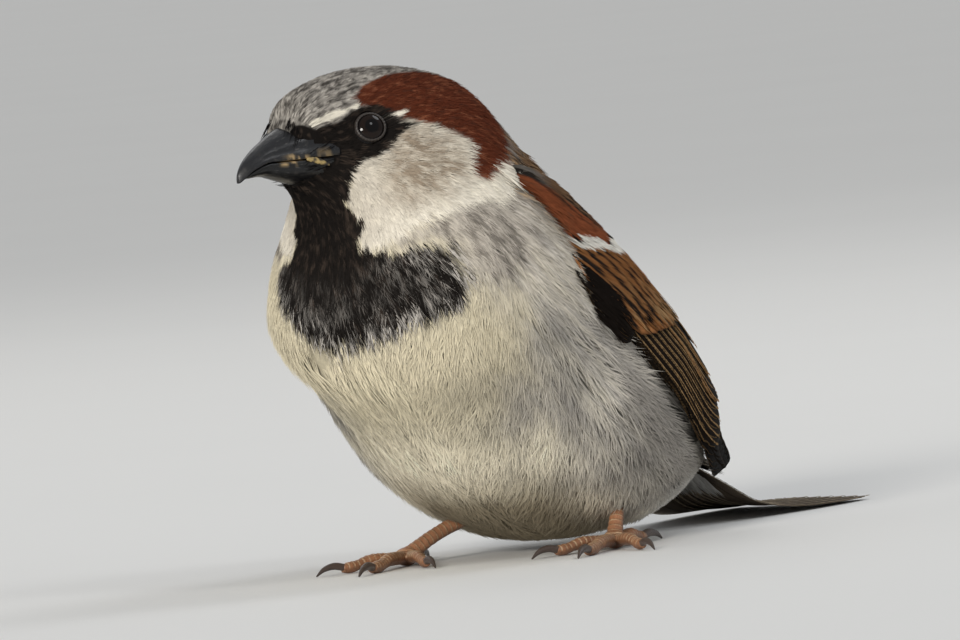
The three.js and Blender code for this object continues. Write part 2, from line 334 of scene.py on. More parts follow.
class Wire:
    """A node's output that Python's arithmetic extends with Math nodes."""

    def __init__(self, shader: Shader, socket: bpy.types.NodeSocket) -> None:
        """Wraps one socket of the shader's tree."""
        self.shader, self.socket = shader, socket

    def maths(self, operation: str, *others: Wire | float, first: Wire | float | None = None) -> Wire:
        """One Math node of this wire and the others, or of first and then this wire."""
        values = ([self] if first is None else [first, self]) + list(others)
        return self.shader.node("ShaderNodeMath", {"operation": operation}, dict(enumerate(values)))

    def __add__(self, other: Wire | float) -> Wire:
        """Sum."""
        return self.maths("ADD", other)

    __radd__ = __add__

    def __sub__(self, other: Wire | float) -> Wire:
        """Difference."""
        return self.maths("SUBTRACT", other)

    def __rsub__(self, other: Wire | float) -> Wire:
        """A number less this."""
        return self.maths("SUBTRACT", first=other)

    def __mul__(self, other: Wire | float) -> Wire:
        """Product."""
        return self.maths("MULTIPLY", other)

    __rmul__ = __mul__

    def size(self) -> Wire:
        """Distance from zero."""
        return self.maths("ABSOLUTE")

    def step(self, low: float, high: float) -> Wire:
        """Smooth step from 0 at low to 1 at high."""
        values = {"Value": self, "From Min": low, "From Max": high}
        return self.shader.node("ShaderNodeMapRange", {"interpolation_type": "SMOOTHSTEP"}, values)


class Shader:
    """One material's node tree."""

    def __init__(self, name: str) -> None:
        """Starts a material with a Principled shader on its output."""
        self.material = bpy.data.materials.new(name)
        self.material.use_nodes = True
        self.tree = self.material.node_tree
        self.tree.nodes.clear()
        self.surface = self.tree.nodes.new("ShaderNodeBsdfPrincipled")
        output = self.tree.nodes.new("ShaderNodeOutputMaterial")
        self.tree.links.new(self.surface.outputs[0], output.inputs["Surface"])

    def put(self, socket: bpy.types.NodeSocket, value: Any) -> None:
        """Links a wire to a socket, or sets its number or colour."""
        if isinstance(value, Wire):
            self.tree.links.new(value.socket, socket)
        else:
            socket.default_value = (*value, 1.0) if socket.type == "RGBA" else value

    def node(self, kind: str, settings: dict[str, Any], values: dict[Any, Any], out: Any = 0) -> Wire:
        """Adds a node of any type.

        Args:
            kind: Its type.
            settings: Its properties, such as a Math node's operation, which are set first.
            values: Numbers, colours or wires by socket name or number.
            out: The output that is wanted.

        Returns:
            That output as a wire.
        """
        made = self.tree.nodes.new(kind)
        for key, value in settings.items():
            setattr(made, key, value)
        for key, value in values.items():
            self.put(made.inputs[key], value)
        return Wire(self, made.outputs[out])

    def object_place(self) -> Wire:
        """The object's own coordinates, in metres."""
        return self.node("ShaderNodeTexCoord", {}, {}, "Object")

    def paint(self, name: str, out: str = "Color") -> Wire:
        """A painted attribute's colour, or its Alpha."""
        return self.node("ShaderNodeAttribute", {"attribute_name": name}, {}, out)

    def map(self, name: str) -> tuple[Wire, Wire]:
        """The two coordinates of one of the piece's own maps."""
        uv = self.node("ShaderNodeUVMap", {"uv_map": name}, {})
        first = self.node("ShaderNodeSeparateXYZ", {}, {0: uv})
        return first, Wire(self, first.socket.node.outputs[1])

    def noise(self, per_mm: float, detail: float, at: Wire | None = None, roughness: float = 0.5) -> Wire:
        """Noise about 0.5.

        Args:
            per_mm: Features to a millimetre, or to one unit of the place that is given.
            detail: Octaves past the first.
            at: The place that it reads, or None for the object's own.
            roughness: How strong the finer octaves are.

        Returns:
            The noise's value.
        """
        place, scale = (self.object_place(), per_mm / MM) if at is None else (at, per_mm)
        values = {"Vector": place, "Scale": scale, "Detail": detail, "Roughness": roughness}
        return self.node("ShaderNodeTexNoise", {}, values)

    def mix(self, share: Wire | float, a: Any, b: Any, kind: str = "MIX") -> Wire:
        """Two colours mixed."""
        setting = {"data_type": "RGBA", "blend_type": kind}
        return self.node("ShaderNodeMix", setting, {0: share, 6: a, 7: b}, 2)

    def scaled(self, colour: Wire, gain: Wire) -> Wire:
        """A colour times a gain."""
        grey = self.node("ShaderNodeCombineColor", {}, {0: gain, 1: gain, 2: gain})
        return self.mix(1.0, colour, grey, "MULTIPLY")

    def finish(self, bump: Wire | None, height: float, **sockets: Any) -> Material:
        """Sets the surface and returns the material.

        Args:
            bump: Height from 0 to 1, or None for a smooth surface.
            height: What a height of 1 is, in millimetres.
            **sockets: Values of the surface's sockets, with _ for each space.

        Returns:
            The material.
        """
        for key, value in sockets.items():
            self.put(self.surface.inputs[key.replace("_", " ")], value)
        if bump is not None:
            values = {"Height": bump, "Distance": height * MM, "Strength": 1.0}
            self.put(self.surface.inputs["Normal"], self.node("ShaderNodeBump", {}, values))
        return self.material


@dataclass(frozen=True)
class PlumeFinish:
    """The soft coat and the skin under it: matt barbs that catch a little light."""

    name: str
    fleck: float = 0.10
    roughness: float = 0.9

    def material(self) -> Material:
        """Painted tint, mottled by fine and broad noise, with relief as fine as a barb."""
        s = Shader(self.name)
        mottle = s.noise(0.9, 3.0) - 0.5
        fine = s.noise(7.0, 2.0)
        colour = s.scaled(s.paint("Tint"), 1.0 + mottle * self.fleck * 2 + (fine - 0.5) * self.fleck)
        return s.finish(fine, 0.02, Base_Color=colour, Roughness=self.roughness, Specular_IOR_Level=0.06)


@dataclass(frozen=True)
class VaneFinish:
    """Flat feathers: a dark core and a paler rim on either side of the shaft, ruled by barbs."""

    name: str
    roughness: float = 0.7
    barbs: float = 80.0  # pairs of barbs that show along a feather
    shaft_tone: Colour = (0.035, 0.022, 0.014)

    def material(self) -> Material:
        """Core and rim colours are parted at the share of the width that the core's alpha holds.

        The rim's alpha is the share of the length past which the rim's colour covers the tip.
        """
        s = Shader(self.name)
        across, length = s.map("Vane")
        side = (across - 0.5).size() * 2.0
        wobble = (s.noise(1.6, 3.0) - 0.5) * 0.34
        barb = (length * self.barbs + side * 9.0 + wobble * 2.0) * (2 * math.pi)
        ridge = barb.maths("SINE") * 0.5 + 0.5
        reach = s.paint("Core", "Alpha")
        past = (length - s.paint("Rim", "Alpha")).maths("MAXIMUM", 0.0)
        rim = (side + wobble * (1.15 - reach) - reach + past * 6.0).step(-0.03, 0.03)
        shaft = 1.0 - side.step(0.03, 0.09)
        colour = s.mix(rim, s.paint("Core"), s.paint("Rim"))
        colour = s.mix(shaft * 0.55, colour, self.shaft_tone)
        colour = s.scaled(colour, 0.86 + ridge * 0.14 + (s.noise(3.0, 2.0) - 0.5) * 0.35)
        relief = ridge * 0.5 + shaft
        return s.finish(relief, 0.05, Base_Color=colour, Roughness=self.roughness, Specular_IOR_Level=0.05)


@dataclass(frozen=True)
class HornFinish:
    """Bill and claws: dense horn with faint scratches along its growth."""

    name: str
    roughness: float = 0.36
    coat: float = 0.25
    scratch: float = 0.5
    scratch_tone: Colour = (0.11, 0.105, 0.10)
    bloom_tone: Colour = (0.09, 0.08, 0.07)

    def material(self) -> Material:
        """Painted tint, lightened where stretched noise leaves scratches, and worn rougher there."""
        s = Shader(self.name)
        lengthways, around = s.map("Grain")
        stretched = s.node("ShaderNodeCombineXYZ", {}, {0: lengthways * 3.0, 1: around * 42.0})
        grain = s.noise(1.0, 4.0, stretched, 0.62)
        wear = grain.step(0.56, 0.74)
        broad = s.noise(0.8, 3.0)
        colour = s.mix(wear * self.scratch, s.paint("Tint"), self.scratch_tone)
        colour = s.mix(broad.step(0.55, 0.8) * 0.2, colour, self.bloom_tone)
        rough = self.roughness + wear * 0.22 + (broad - 0.5) * 0.2
        return s.finish(
            grain * 0.6 + broad * 0.4, 0.05, Base_Color=colour, Roughness=rough, Specular_IOR_Level=0.32,
            Coat_Weight=self.coat, Coat_Roughness=0.25,
        )


@dataclass(frozen=True)
class ScaleFinish:
    """Bare skin of the feet and eyelids: small waxy scales."""

    name: str
    roughness: float = 0.46
    grain: float = 3.6  # scales to a millimetre

    def material(self) -> Material:
        """Painted tint over small cells, which also give the relief."""
        s = Shader(self.name)
        place = {"Vector": s.object_place(), "Scale": self.grain / MM}
        cells = s.node("ShaderNodeTexVoronoi", {}, place)
        fine = s.noise(5.0, 3.0)
        rough = self.roughness + (fine - 0.5) * 0.2
        return s.finish(
            1.0 - cells.step(0.1, 0.7), 0.035, Base_Color=s.scaled(s.paint("Tint"), 0.8 + fine * 0.36),
            Roughness=rough, Specular_IOR_Level=0.5,
        )


@dataclass(frozen=True)
class EyeFinish:
    """A dark wet eye."""

    name: str
    spoke_tone: Colour = (0.006, 0.003, 0.002)

    def material(self) -> Material:
        """Painted iris and pupil, with fine spokes, under a clear coat."""
        s = Shader(self.name)
        colour = s.mix(s.noise(4.0, 3.0).step(0.4, 0.7) * 0.3, s.paint("Tint"), self.spoke_tone)
        gloss = {"Coat_Weight": 0.4, "Coat_Roughness": 0.02}
        return s.finish(None, 0.0, Base_Color=colour, Roughness=0.3, Specular_IOR_Level=0.0, **gloss)


# ---- the body's form


@dataclass(frozen=True)
class Torso:
    """The body's form: a loft through thirteen stations, with the neck turned."""

    # top ahead, top up, bottom ahead, bottom up, half-width, half-width to the wing, squareness, egg
    stations: tuple[tuple[float, ...], ...] = (
        (35.0, 65.3, 33.4, 56.4, 4.3, 4.3, 0.9, 0.0),
        (32.5, 69.0, 31.1, 54.3, 5.1, 5.1, 0.85, 0.02),
        (25.8, 71.4, 29.3, 51.4, 6.6, 6.6, 0.8, 0.06),
        (18.2, 72.2, 28.5, 47.9, 9.0, 9.0, 0.8, 0.12),
        (10.4, 71.5, 29.2, 44.1, 12.7, 12.7, 0.82, 0.15),
        (2.8, 68.6, 31.4, 40.1, 15.9, 15.9, 0.86, 0.12),
        (-3.1, 61.8, 33.6, 35.8, 19.0, 19.2, 0.9, 0.08),
        (-9.5, 53.7, 32.2, 29.4, 22.0, 22.2, 0.92, 0.04),
        (-18.9, 46.1, 19.8, 19.6, 22.9, 23.2, 0.92, 0.0),
        (-28.1, 36.3, 3.7, 7.4, 24.4, 24.6, 0.92, -0.02),
        (-36.1, 26.4, -11.9, 1.6, 22.0, 23.0, 0.92, -0.04),
        (-43.0, 19.6, -26.7, 2.2, 15.6, 19.2, 0.95, -0.04),
        (-49.0, 14.8, -39.0, 7.0, 7.5, 17.0, 1.0, 0.0),
    )
    turn: float = math.radians(17.0)
    pivot: float = 8.0
    full_at: float = 3.6
    ends_at: float = 7.0

    def turned(self, side: Array, ahead: Array, up: Array, t: Array) -> Array:
        """Places of a straight bird after the neck's turn, which fades smoothly along the neck.

        Args:
            side: Millimetres to the left.
            ahead: Millimetres ahead.
            up: Millimetres up.
            t: Stations, which say how much of the turn is felt.

        Returns:
            Places in the model's axes.
        """
        turn = self.turn * ramp(-np.asarray(t, float), -self.ends_at, -self.full_at)
        c, s = np.cos(turn), np.sin(turn)
        reach = ahead - self.pivot
        x = side * c - reach * s + SHIFT[0]
        y = -(self.pivot + side * s + reach * c) + SHIFT[1]
        return np.stack(np.broadcast_arrays(x, y, up), -1)

    def unturned(self, points: Array) -> tuple[Array, Array, Array]:
        """Side, ahead and up of places in the straight head: the turn undone at its full value."""
        x, y = points[..., 0] - SHIFT[0], -(points[..., 1] - SHIFT[1])
        c, s = math.cos(self.turn), math.sin(self.turn)
        reach = y - self.pivot
        return x * c + reach * s, self.pivot - x * s + reach * c, points[..., 2]

    def at(self, t: Array, angle: Array, lift: Array | float = 0.0, wing: bool = False) -> Array:
        """Places on the body, lifted off it.

        Each section is a squared oval from its top point to its bottom point: across it goes
        half x sign(sin) |sin|^square, widened below by egg, and between its ends by the cosine.

        Args:
            t: Stations.
            angle: Angles round the sections.
            lift: Millimetres off the body.
            wing: Whether the width to the wing counts.

        Returns:
            Places in the model's axes.
        """
        t, angle = np.broadcast_arrays(np.asarray(t, float), np.asarray(angle, float))
        table = np.array(self.stations)
        ta, tu, ba, bu, half, wide, square, egg = (along(table[:, k], t) for k in range(8))
        ra, ru = (ta - ba) / 2, (tu - bu) / 2
        grow = 1 + lift / np.hypot(ra, ru)
        c, s = np.cos(angle), np.sin(angle)
        out = ((wide if wing else half) + lift) * (1 - egg * c) * np.sign(s) * np.abs(s) ** square
        return self.turned(out, (ta + ba) / 2 + ra * grow * c, (tu + bu) / 2 + ru * grow * c, t)

    def axes(self, t: Array, angle: Array, lift: Array | float = 0.0, wing: bool = False) -> tuple[Array, ...]:
        """Directions on the surface, by small steps of the station and of the angle.

        Returns:
            Unit vectors backwards and round, the outward normal, and the millimetres in one
            station and in one radian.
        """
        step = 2e-3
        base = self.at(t, angle, lift, wing)
        back = (self.at(t + step, angle, lift, wing) - base) / step
        round_ = (self.at(t, angle + step, lift, wing) - self.at(t, angle - step, lift, wing)) / (2 * step)
        out = unit(np.cross(round_, back))
        return unit(back), unit(round_), out, np.linalg.norm(back, axis=-1), np.linalg.norm(round_, axis=-1)


BODY = Torso()


@dataclass(frozen=True)
class EyePlace:
    """Where the eyeballs sit: sunk straight in from a place on each side of the head."""

    station: float = 2.59
    angle: float = math.radians(75.0)
    radius: float = 3.0
    sunk: float = 2.0

    def axes(self, sign: int) -> tuple[Array, Array, Array, Array]:
        """The eye's middle, its outward axis, and the directions backwards and down round it."""
        t, a = np.array(self.station), np.array(sign * self.angle)
        back, down, out, _, _ = BODY.axes(t, a)
        return BODY.at(t, a) - out * self.sunk, out, back, down * sign

    def round(self, sign: int, out_by: Array, back_by: Array, down_by: Array) -> Array:
        """Places so many millimetres out from an eye's middle, backwards and down."""
        centre, *axes = self.axes(sign)
        ways = np.broadcast_arrays(out_by, back_by, down_by)
        return sum((way[..., None] * axis for way, axis in zip(ways, axes)), centre)


EYES = EyePlace()


@dataclass(frozen=True)
class BillForm:
    """The bill's sections: half ovals on either side of the seam between the mandibles."""

    tip_ahead: float = 43.3
    tip_up: float = 58.2
    length: float = 14.8
    half: float = 4.97
    culmen: float = 7.4
    gonys: float = 3.1
    seam_up: float = 1.9
    hook: float = 0.7
    gap: float = 0.3

    def first(self, upper: bool) -> float:
        """Where a mandible's tip is, back from the bill's tip."""
        return 0.12 if upper else self.hook + 0.3

    def section(self, back: Array, upper: bool) -> tuple[Array, Array, Array]:
        """A mandible's section at distances back from the tip, each size a power of the distance.

        Args:
            back: Millimetres back from the bill's tip.
            upper: Which of the mandibles.

        Returns:
            Its half-width, its edge's height and its own height.
        """
        half = self.half * (back / self.length) ** 0.62 * (1.0 if upper else 0.93)
        half = half + 0.85 * ramp(back, 4.5, 10.0)
        rise = self.seam_up * ramp(back, -0.6, 5.0)
        droop = self.hook * (1 - ramp(back, 0.0, 2.0)) if upper else 0 * back
        if upper:
            height = self.culmen * (back / 11) ** 0.6 - rise + droop
        else:
            height = self.gonys * (np.maximum(back - self.first(False), 0) / 9) ** 0.75 + 0.12
        edge = self.tip_up + rise - droop + (1 if upper else -1) * self.gap / 2
        return half, edge, np.maximum(height, 0.3)

    def holds(self, points: Array, margin: float) -> Array:
        """Which places are in the bill or within the margin of it."""
        side, ahead, up = BODY.unturned(points)
        above = up - self.tip_up - self.seam_up
        border = np.interp(above, (-4.5, -2.4, -1.0, 0.6, 3.0, 6.5), (9.8, 11.2, 14.4, 14.6, 12.4, 8.6))
        bare = self.tip_ahead - ahead < border
        back = np.clip(self.tip_ahead - ahead, 0.2, self.length)
        inside = np.zeros(len(points), bool)
        for upper in (True, False):
            half, edge, height = self.section(back, upper)
            rise = (up - edge) * (1 if upper else -1)
            over = (side / (half + margin)) ** 2 + (np.maximum(rise, 0) / (height + margin)) ** 2
            inside |= (over < 1) & (rise > -0.3) & (self.tip_ahead - ahead < self.length)
        return inside | bare


BILL = BillForm()


# ---- markings


class Hue(Enum):
    """The plumage's colours, as a display shows them."""

    CROWN_PALE = (174, 168, 159)
    CROWN_DARK = (70, 66, 62)
    STREAK = (42, 35, 30)
    SHADE = (138, 126, 104)
    BUFF = (190, 158, 118)
    CHESTNUT = (84, 41, 26)
    CHESTNUT_PALE = (136, 84, 60)
    BLACK = (25, 22, 20)
    WHITE = (226, 219, 203)
    EAR = (144, 130, 113)
    COLLAR = (184, 176, 165)
    COLLAR_DARK = (106, 100, 93)
    BREAST = (208, 198, 172)
    FLANK = (196, 190, 182)
    FLANK_DARK = (124, 120, 115)
    BELLY = (236, 227, 204)
    VENT = (226, 223, 216)
    BACK = (110, 84, 62)
    RUMP = (128, 118, 104)

    @property
    def rgb(self) -> Array:
        """The colour as linear light."""
        return linear(*self.value)


@dataclass(frozen=True)
class Markings:
    """Where each colour lies, as outlines in station and degrees from the top, both sides alike.

    The bib's outline goes all the way round below instead, because it hangs off the middle.
    """

    band: Points = (
        (2.26, 47), (2.6, 36), (3.01, 29), (3.78, 19.5), (4.4, 14.5), (4.95, 17), (5.32, 28), (5.56, 42),
        (5.58, 56), (5.5, 68), (5.3, 82), (5.0, 82), (4.93, 68), (4.48, 67), (3.99, 66), (3.62, 66.5),
        (3.4, 67), (2.98, 61.5), (2.65, 59.5), (2.33, 57.5),
    )
    white: Points = (
        (2.2, 112), (2.24, 124), (2.27, 135.5), (2.89, 141), (3.21, 138), (3.26, 149), (3.79, 151),
        (4.08, 142), (4.28, 131), (4.56, 117.5), (4.89, 106), (5.23, 95.5), (5.45, 88), (5.66, 88),
        (5.84, 79), (5.83, 68), (5.59, 62), (5.3, 64), (5.16, 84), (4.95, 79), (4.9, 67.5), (4.48, 66),
        (3.99, 65), (3.62, 65.5), (3.4, 66), (3.28, 78.5), (3.12, 88), (2.84, 94), (2.48, 99),
    )
    grey_collar: Points = (
        (3.7, 152), (4.2, 140), (4.58, 133), (4.98, 120.5), (5.44, 115), (5.99, 119), (6.5, 112),
        (6.6, 95), (6.3, 82), (5.9, 76), (5.6, 84), (5.4, 86), (5.2, 94), (4.86, 105), (4.52, 116),
        (4.24, 130), (4.04, 141),
    )
    ear: Points = (
        (3.4, 72), (4.1, 70), (4.66, 70), (4.95, 84), (4.66, 100), (4.1, 112), (3.4, 114), (3.05, 103),
        (3.15, 84),
    )
    brow: Points = (
        (0.9, 61), (1.09, 68.5), (1.5, 69), (1.99, 64.5), (2.33, 59.5), (2.37, 55), (1.99, 56),
        (1.58, 58), (1.07, 57),
    )
    spot: Points = ((2.92, 65), (3.3, 58.5), (3.5, 58.5), (3.42, 64), (3.25, 68.5))
    mask: Points = (
        (-0.4, 30), (0.29, 41), (0.75, 58), (1.05, 69), (1.7, 70), (2.2, 61.5), (2.45, 58.5), (2.75, 57),
        (3.05, 60.5), (3.33, 68.5), (3.8, 66.5), (3.52, 72), (3.28, 78.5), (3.12, 88), (2.84, 94),
        (2.48, 99), (2.3, 106), (2.24, 114), (2.1, 124), (-0.4, 124),
    )
    bib: Points = (
        (-0.4, 112), (1.6, 118), (2.2, 122.5), (2.27, 135.5), (2.89, 141), (3.21, 137), (3.3, 149),
        (3.79, 150), (4.2, 141), (4.58, 133), (4.98, 120.5), (5.44, 115), (5.99, 119), (6.26, 124.5),
        (6.39, 131.5), (6.39, 140.5), (6.31, 152.5), (6.39, 165.5), (6.46, 178), (6.64, 183.5),
        (6.4, 190), (6.15, 197), (5.85, 206), (5.5, 214), (5.0, 222), (4.6, 221), (4.3, 216),
        (3.79, 209), (3.3, 209), (3.21, 222), (2.89, 220), (2.27, 224.5), (2.0, 238), (-0.4, 248),
    )
    station_mm: float = 8.5
    degree_mm: float = 0.22
    reach: float = 3.0  # how far outside an outline its depth is told

    def depth(self, name: str, t: Array, degrees: Array) -> Array:
        """How deep places lie in a marking, in rough millimetres, worked out in batches.

        Args:
            name: The marking.
            t: Stations.
            degrees: Degrees from the top, or all the way round for the bib.

        Returns:
            Depths, negative outside and no less than -reach.
        """
        scale = np.array([self.station_mm, self.degree_mm])
        outline = np.array(getattr(self, name)) * scale
        points = np.stack([t, degrees], -1) * scale
        near = ((points > outline.min(0) - self.reach) & (points < outline.max(0) + self.reach)).all(1)
        depth = np.full(len(points), -self.reach)
        if near.any():
            parts = np.array_split(points[near], near.sum() // 20000 + 1)
            depth[near] = np.concatenate([polygon_depth(part, outline) for part in parts])
        return depth

    def colour(self, t: Array, angle: Array, points: Array, cells: Cells) -> Array:
        """The plumage's colour at places on the body.

        Each marking is laid over the last, by a smooth step of its depth, which noise makes ragged.

        Args:
            t: Stations.
            angle: Angles from the top, in radians.
            points: The places, in millimetres, which the noise reads.
            cells: The feathers that the places are on.

        Returns:
            (n, 3) linear colours.
        """
        degrees = np.degrees(np.abs((angle + np.pi) % (2 * np.pi) - np.pi))
        fine, small, broad = (cloud(points, cell, seed) for cell, seed in ((0.55, 1), (1.3, 2), (5.5, 3)))
        streak = cloud(np.stack([t * 1.6, degrees * 0.5], -1), 1.0, 4)
        stroke = cloud(np.stack([t * 3.0, degrees * 0.75], -1), 1.0, 5)
        shaft = np.abs(cells.v) * 2
        # Underparts: cream in front, greyer on the flanks, mottled on the belly, white behind; painted shade
        # darkens the lower belly and the rear flank under the wing, and painted light keeps the belly's middle
        # clear of mottle.
        base = over(Hue.BREAST.rgb, Hue.BELLY.rgb, ramp(t, 7.6, 8.6))
        patch = np.clip(0.42 + 0.55 * broad + 0.3 * small, 0, 1) * window(t, 7.8, 10.6, 0.7)
        inner = 20 * ramp(t, 7.0, 8.2)
        flank = 1 - ramp(degrees, 98 + inner + 6 * broad, 130 + inner + 8 * broad)
        cloudy = np.clip(0.15 + 0.5 * broad + 0.3 * streak, 0, 0.8) * (0.4 + 0.6 * ramp(t, 6.6, 7.8))
        late = 0.42 * ramp(t, 7.8, 9.6) + 0.25 * fine * ramp(t, 5.6, 6.6)
        for hue, gain, share in (
            # Painted light: the dark mottle fades out near the belly's middle.
            (Hue.FLANK_DARK, 1, 0.5 * patch * (1 - 0.85 * ramp(degrees, 146, 168))),
            (Hue.FLANK, 1, flank * (0.75 + 0.2 * streak)),
            (Hue.FLANK_DARK, 1, flank * cloudy),
            (Hue.FLANK_DARK, 1, flank * late.clip(0, 1)),
            (Hue.VENT, 0.75, 0.9 * ramp(t, 9.9, 10.6) * ramp(degrees, 96, 112)),
            # Painted shade low on the rear belly, towards its middle.
            (Hue.SHADE, 0.8, 0.9 * window(t, 9.1, 10.5, 0.7) * ramp(degrees, 132, 160)),
            # Painted shade on the rear flank, below the wing's lower edge.
            (Hue.FLANK_DARK, 1, 0.5 * window(t, 9.0, 10.4, 0.6) * (1 - ramp(degrees, 112, 136))),
        ):
            base = over(base, hue.rgb * gain, share)
        # Above: brown mantle with black streaks and buff edges, then a plainer rump.
        across = shaft + 0.25 * small
        mantle = over(Hue.BACK.rgb, Hue.BUFF.rgb, ramp(across, 0.62, 0.9) * cells.own)
        core = (1 - ramp(across, 0.42, 0.62)) * window(t, 5.9, 8.6, 0.5) * (cells.own > 0.3)
        mantle = over(mantle, Hue.STREAK.rgb, core)
        rump = over(Hue.RUMP.rgb, Hue.FLANK.rgb, 0.3 * ramp(across, 0.6, 0.9))
        behind = ramp(t, 9.5, 11.5)
        above = 1 - ramp(degrees, 70 + 8 * behind, 84 + 10 * behind)
        base = over(base, over(mantle, rump, ramp(t, 8.6, 9.6)), above)
        # Crown: grey, speckled dark and pale.
        speckle = np.clip(0.45 + 0.42 * stroke + 0.66 * fine, 0, 1)
        crown = over(Hue.CROWN_DARK.rgb, Hue.CROWN_PALE.rgb, speckle)
        base = over(base, crown, (1 - ramp(t + 0.3 * small, 5.3, 6.0)) * (1 - ramp(degrees, 84, 92)))
        collar = over(Hue.COLLAR.rgb, Hue.COLLAR_DARK.rgb, np.clip(0.36 + 0.9 * fine + 0.6 * small, 0, 0.95))
        chestnut = over(Hue.CHESTNUT.rgb, Hue.CHESTNUT_PALE.rgb, np.clip(1.2 * fine - 0.28, 0, 0.6))
        chestnut = over(chestnut, Hue.STREAK.rgb, np.clip(-0.8 * fine - 0.15, 0, 0.4))
        white = over(Hue.WHITE.rgb, Hue.FLANK.rgb, np.clip(0.25 + 0.5 * small, 0, 0.4) * 0.6)
        # Painted shade: towards the front the white is greyed by the ear's colour.
        white = over(white, Hue.EAR.rgb, 0.34 * (1 - ramp(t, 3.0, 5.0)))
        soot = over(Hue.BLACK.rgb, Hue.STREAK.rgb * 2.2, np.clip(1.2 * fine - 0.2, 0, 0.7))
        ear = np.clip(0.8 + 0.5 * fine + 0.15 * small, 0.2, 1.0)
        thin = 0.4 * small - 0.3
        # Each marking's colour, softness, raggedness, strength and what is added to its depth.
        layers = {
            "grey_collar": (collar, 1.6, 1.4, 0.94, 0), "white": (white, 0.5, 0.45, 1, 0),
            "ear": (Hue.EAR.rgb, 2.4, 0.6, ear, 0), "band": (chestnut, 0.35, 0.35, 1, 0),
            "mask": (soot, 0.3, 0.2, 1, 0), "brow": (Hue.WHITE.rgb, 0.3, 0.2, 1, thin),
            "spot": (Hue.WHITE.rgb, 0.2, 0.15, 1, thin),
        }
        for name, (top, soft, ragged, strength, extra) in layers.items():
            depth = self.depth(name, t, degrees) + ragged * (0.7 * small + 0.5 * fine) + extra
            base = over(base, top, ramp(depth, -soft, soft) * strength)
        depth = self.depth("bib", t, np.degrees(angle % (2 * np.pi))) + 0.9 * small + 0.6 * fine
        edge = 0.35 + 0.35 * ramp(t, 4.5, 6.0)
        # Pale fringes are thick near the bib's lower edge and thin out towards the throat.
        scallop = np.maximum(ramp(cells.u, 0.55, 0.85), ramp(shaft, 0.6, 0.9))
        scallop = scallop * ramp(fine + 0.6 * small, -0.5, 0.5)
        fringe = ramp(t, 4.0, 5.6) * (0.18 + 0.82 * (1 - ramp(depth, 0.0, 6.5))) * scallop
        base = over(base, over(soot, Hue.FLANK.rgb, fringe), ramp(depth, -edge, edge))
        return np.clip(base, 0.0, 1.0)


MARKS = Markings()


# ---- the coat


@dataclass(frozen=True)
class CoatTable:
    """How the coat changes from the bill to the tail, read by station."""

    at: tuple[float, ...] = (0, 1, 2, 3, 4, 5, 6, 7, 8, 9, 10, 11, 12)
    depth: tuple[float, ...] = (0.3, 0.5, 0.62, 0.8, 1.0, 1.25, 1.5, 1.7, 1.9, 2.0, 1.6, 1.2, 0.9)
    length: tuple[float, ...] = (1.1, 1.45, 1.9, 2.3, 2.9, 4.0, 5.2, 6.6, 7.8, 8.2, 7.4, 6.4, 6.0)
    width: tuple[float, ...] = (0.12, 0.15, 0.17, 0.19, 0.21, 0.23, 0.26, 0.28, 0.3, 0.31, 0.31, 0.31, 0.31)
    dense: tuple[float, ...] = (46, 42, 38, 33, 27, 20, 15, 12, 10.5, 10, 10.5, 12, 13)
    feather_long: tuple[float, ...] = (1.2, 1.5, 1.8, 2.1, 2.4, 3.0, 3.8, 4.6, 5.4, 5.6, 5.2, 5.0, 5.0)
    feather_wide: tuple[float, ...] = (0.5, 0.55, 0.6, 0.6, 0.7, 1.3, 2.0, 2.6, 3.0, 3.2, 3.0, 3.0, 3.0)

    def read(self, name: str, t: Array) -> Array:
        """One of the columns at stations, in straight lines between them."""
        return np.interp(t, self.at, getattr(self, name))


TABLE = CoatTable()


@dataclass
class Cells:
    """Where barbs lie in their feathers: u along from 0 to 1, v across from -0.5 to 0.5."""

    u: Array
    v: Array
    own: Array  # a random number of each feather
    wide: Array  # the feather's width in millimetres

    @staticmethod
    def of(t: Array, angle: Array) -> Cells:
        """Feathers in staggered rows round the body.

        The running sum of millimetres over the feathers' length numbers the rows, bent by soft
        noise so that no ring shows. Each row holds a whole number of feathers round the body.

        Args:
            t: The barbs' stations.
            angle: Their angles.

        Returns:
            Where each barb lies in its feather.
        """
        stations = np.linspace(0, LAST, 300)
        _, _, _, mt, _ = BODY.axes(stations, np.full(300, np.pi / 2))
        _, _, _, _, ma = BODY.axes(stations[:, None], np.linspace(-3, 3, 24)[None])
        run = np.cumsum(mt / TABLE.read("feather_long", stations)) * (LAST / 299)
        bent = 0.75 * cloud(np.stack([t * 2.0, np.degrees(angle) * 0.09], -1), 1.0, 33)
        rows = np.interp(t, stations, run) + bent
        row = np.floor(rows)
        middle = np.interp(row + 0.5, run, stations)
        wide = TABLE.read("feather_wide", middle)
        count = np.round(2 * np.pi * np.interp(middle, stations, ma.mean(1)) / wide)
        columns = angle / (2 * np.pi) * count + 0.5 * (row % 2) + 0.3 * np.sin(row * 12.9)
        column = np.floor(columns)
        own = np.abs(np.sin(row * 127.1 + column * 311.7) * 43758.5453) % 1.0
        return Cells(rows - row, columns - column - 0.5, own, wide)


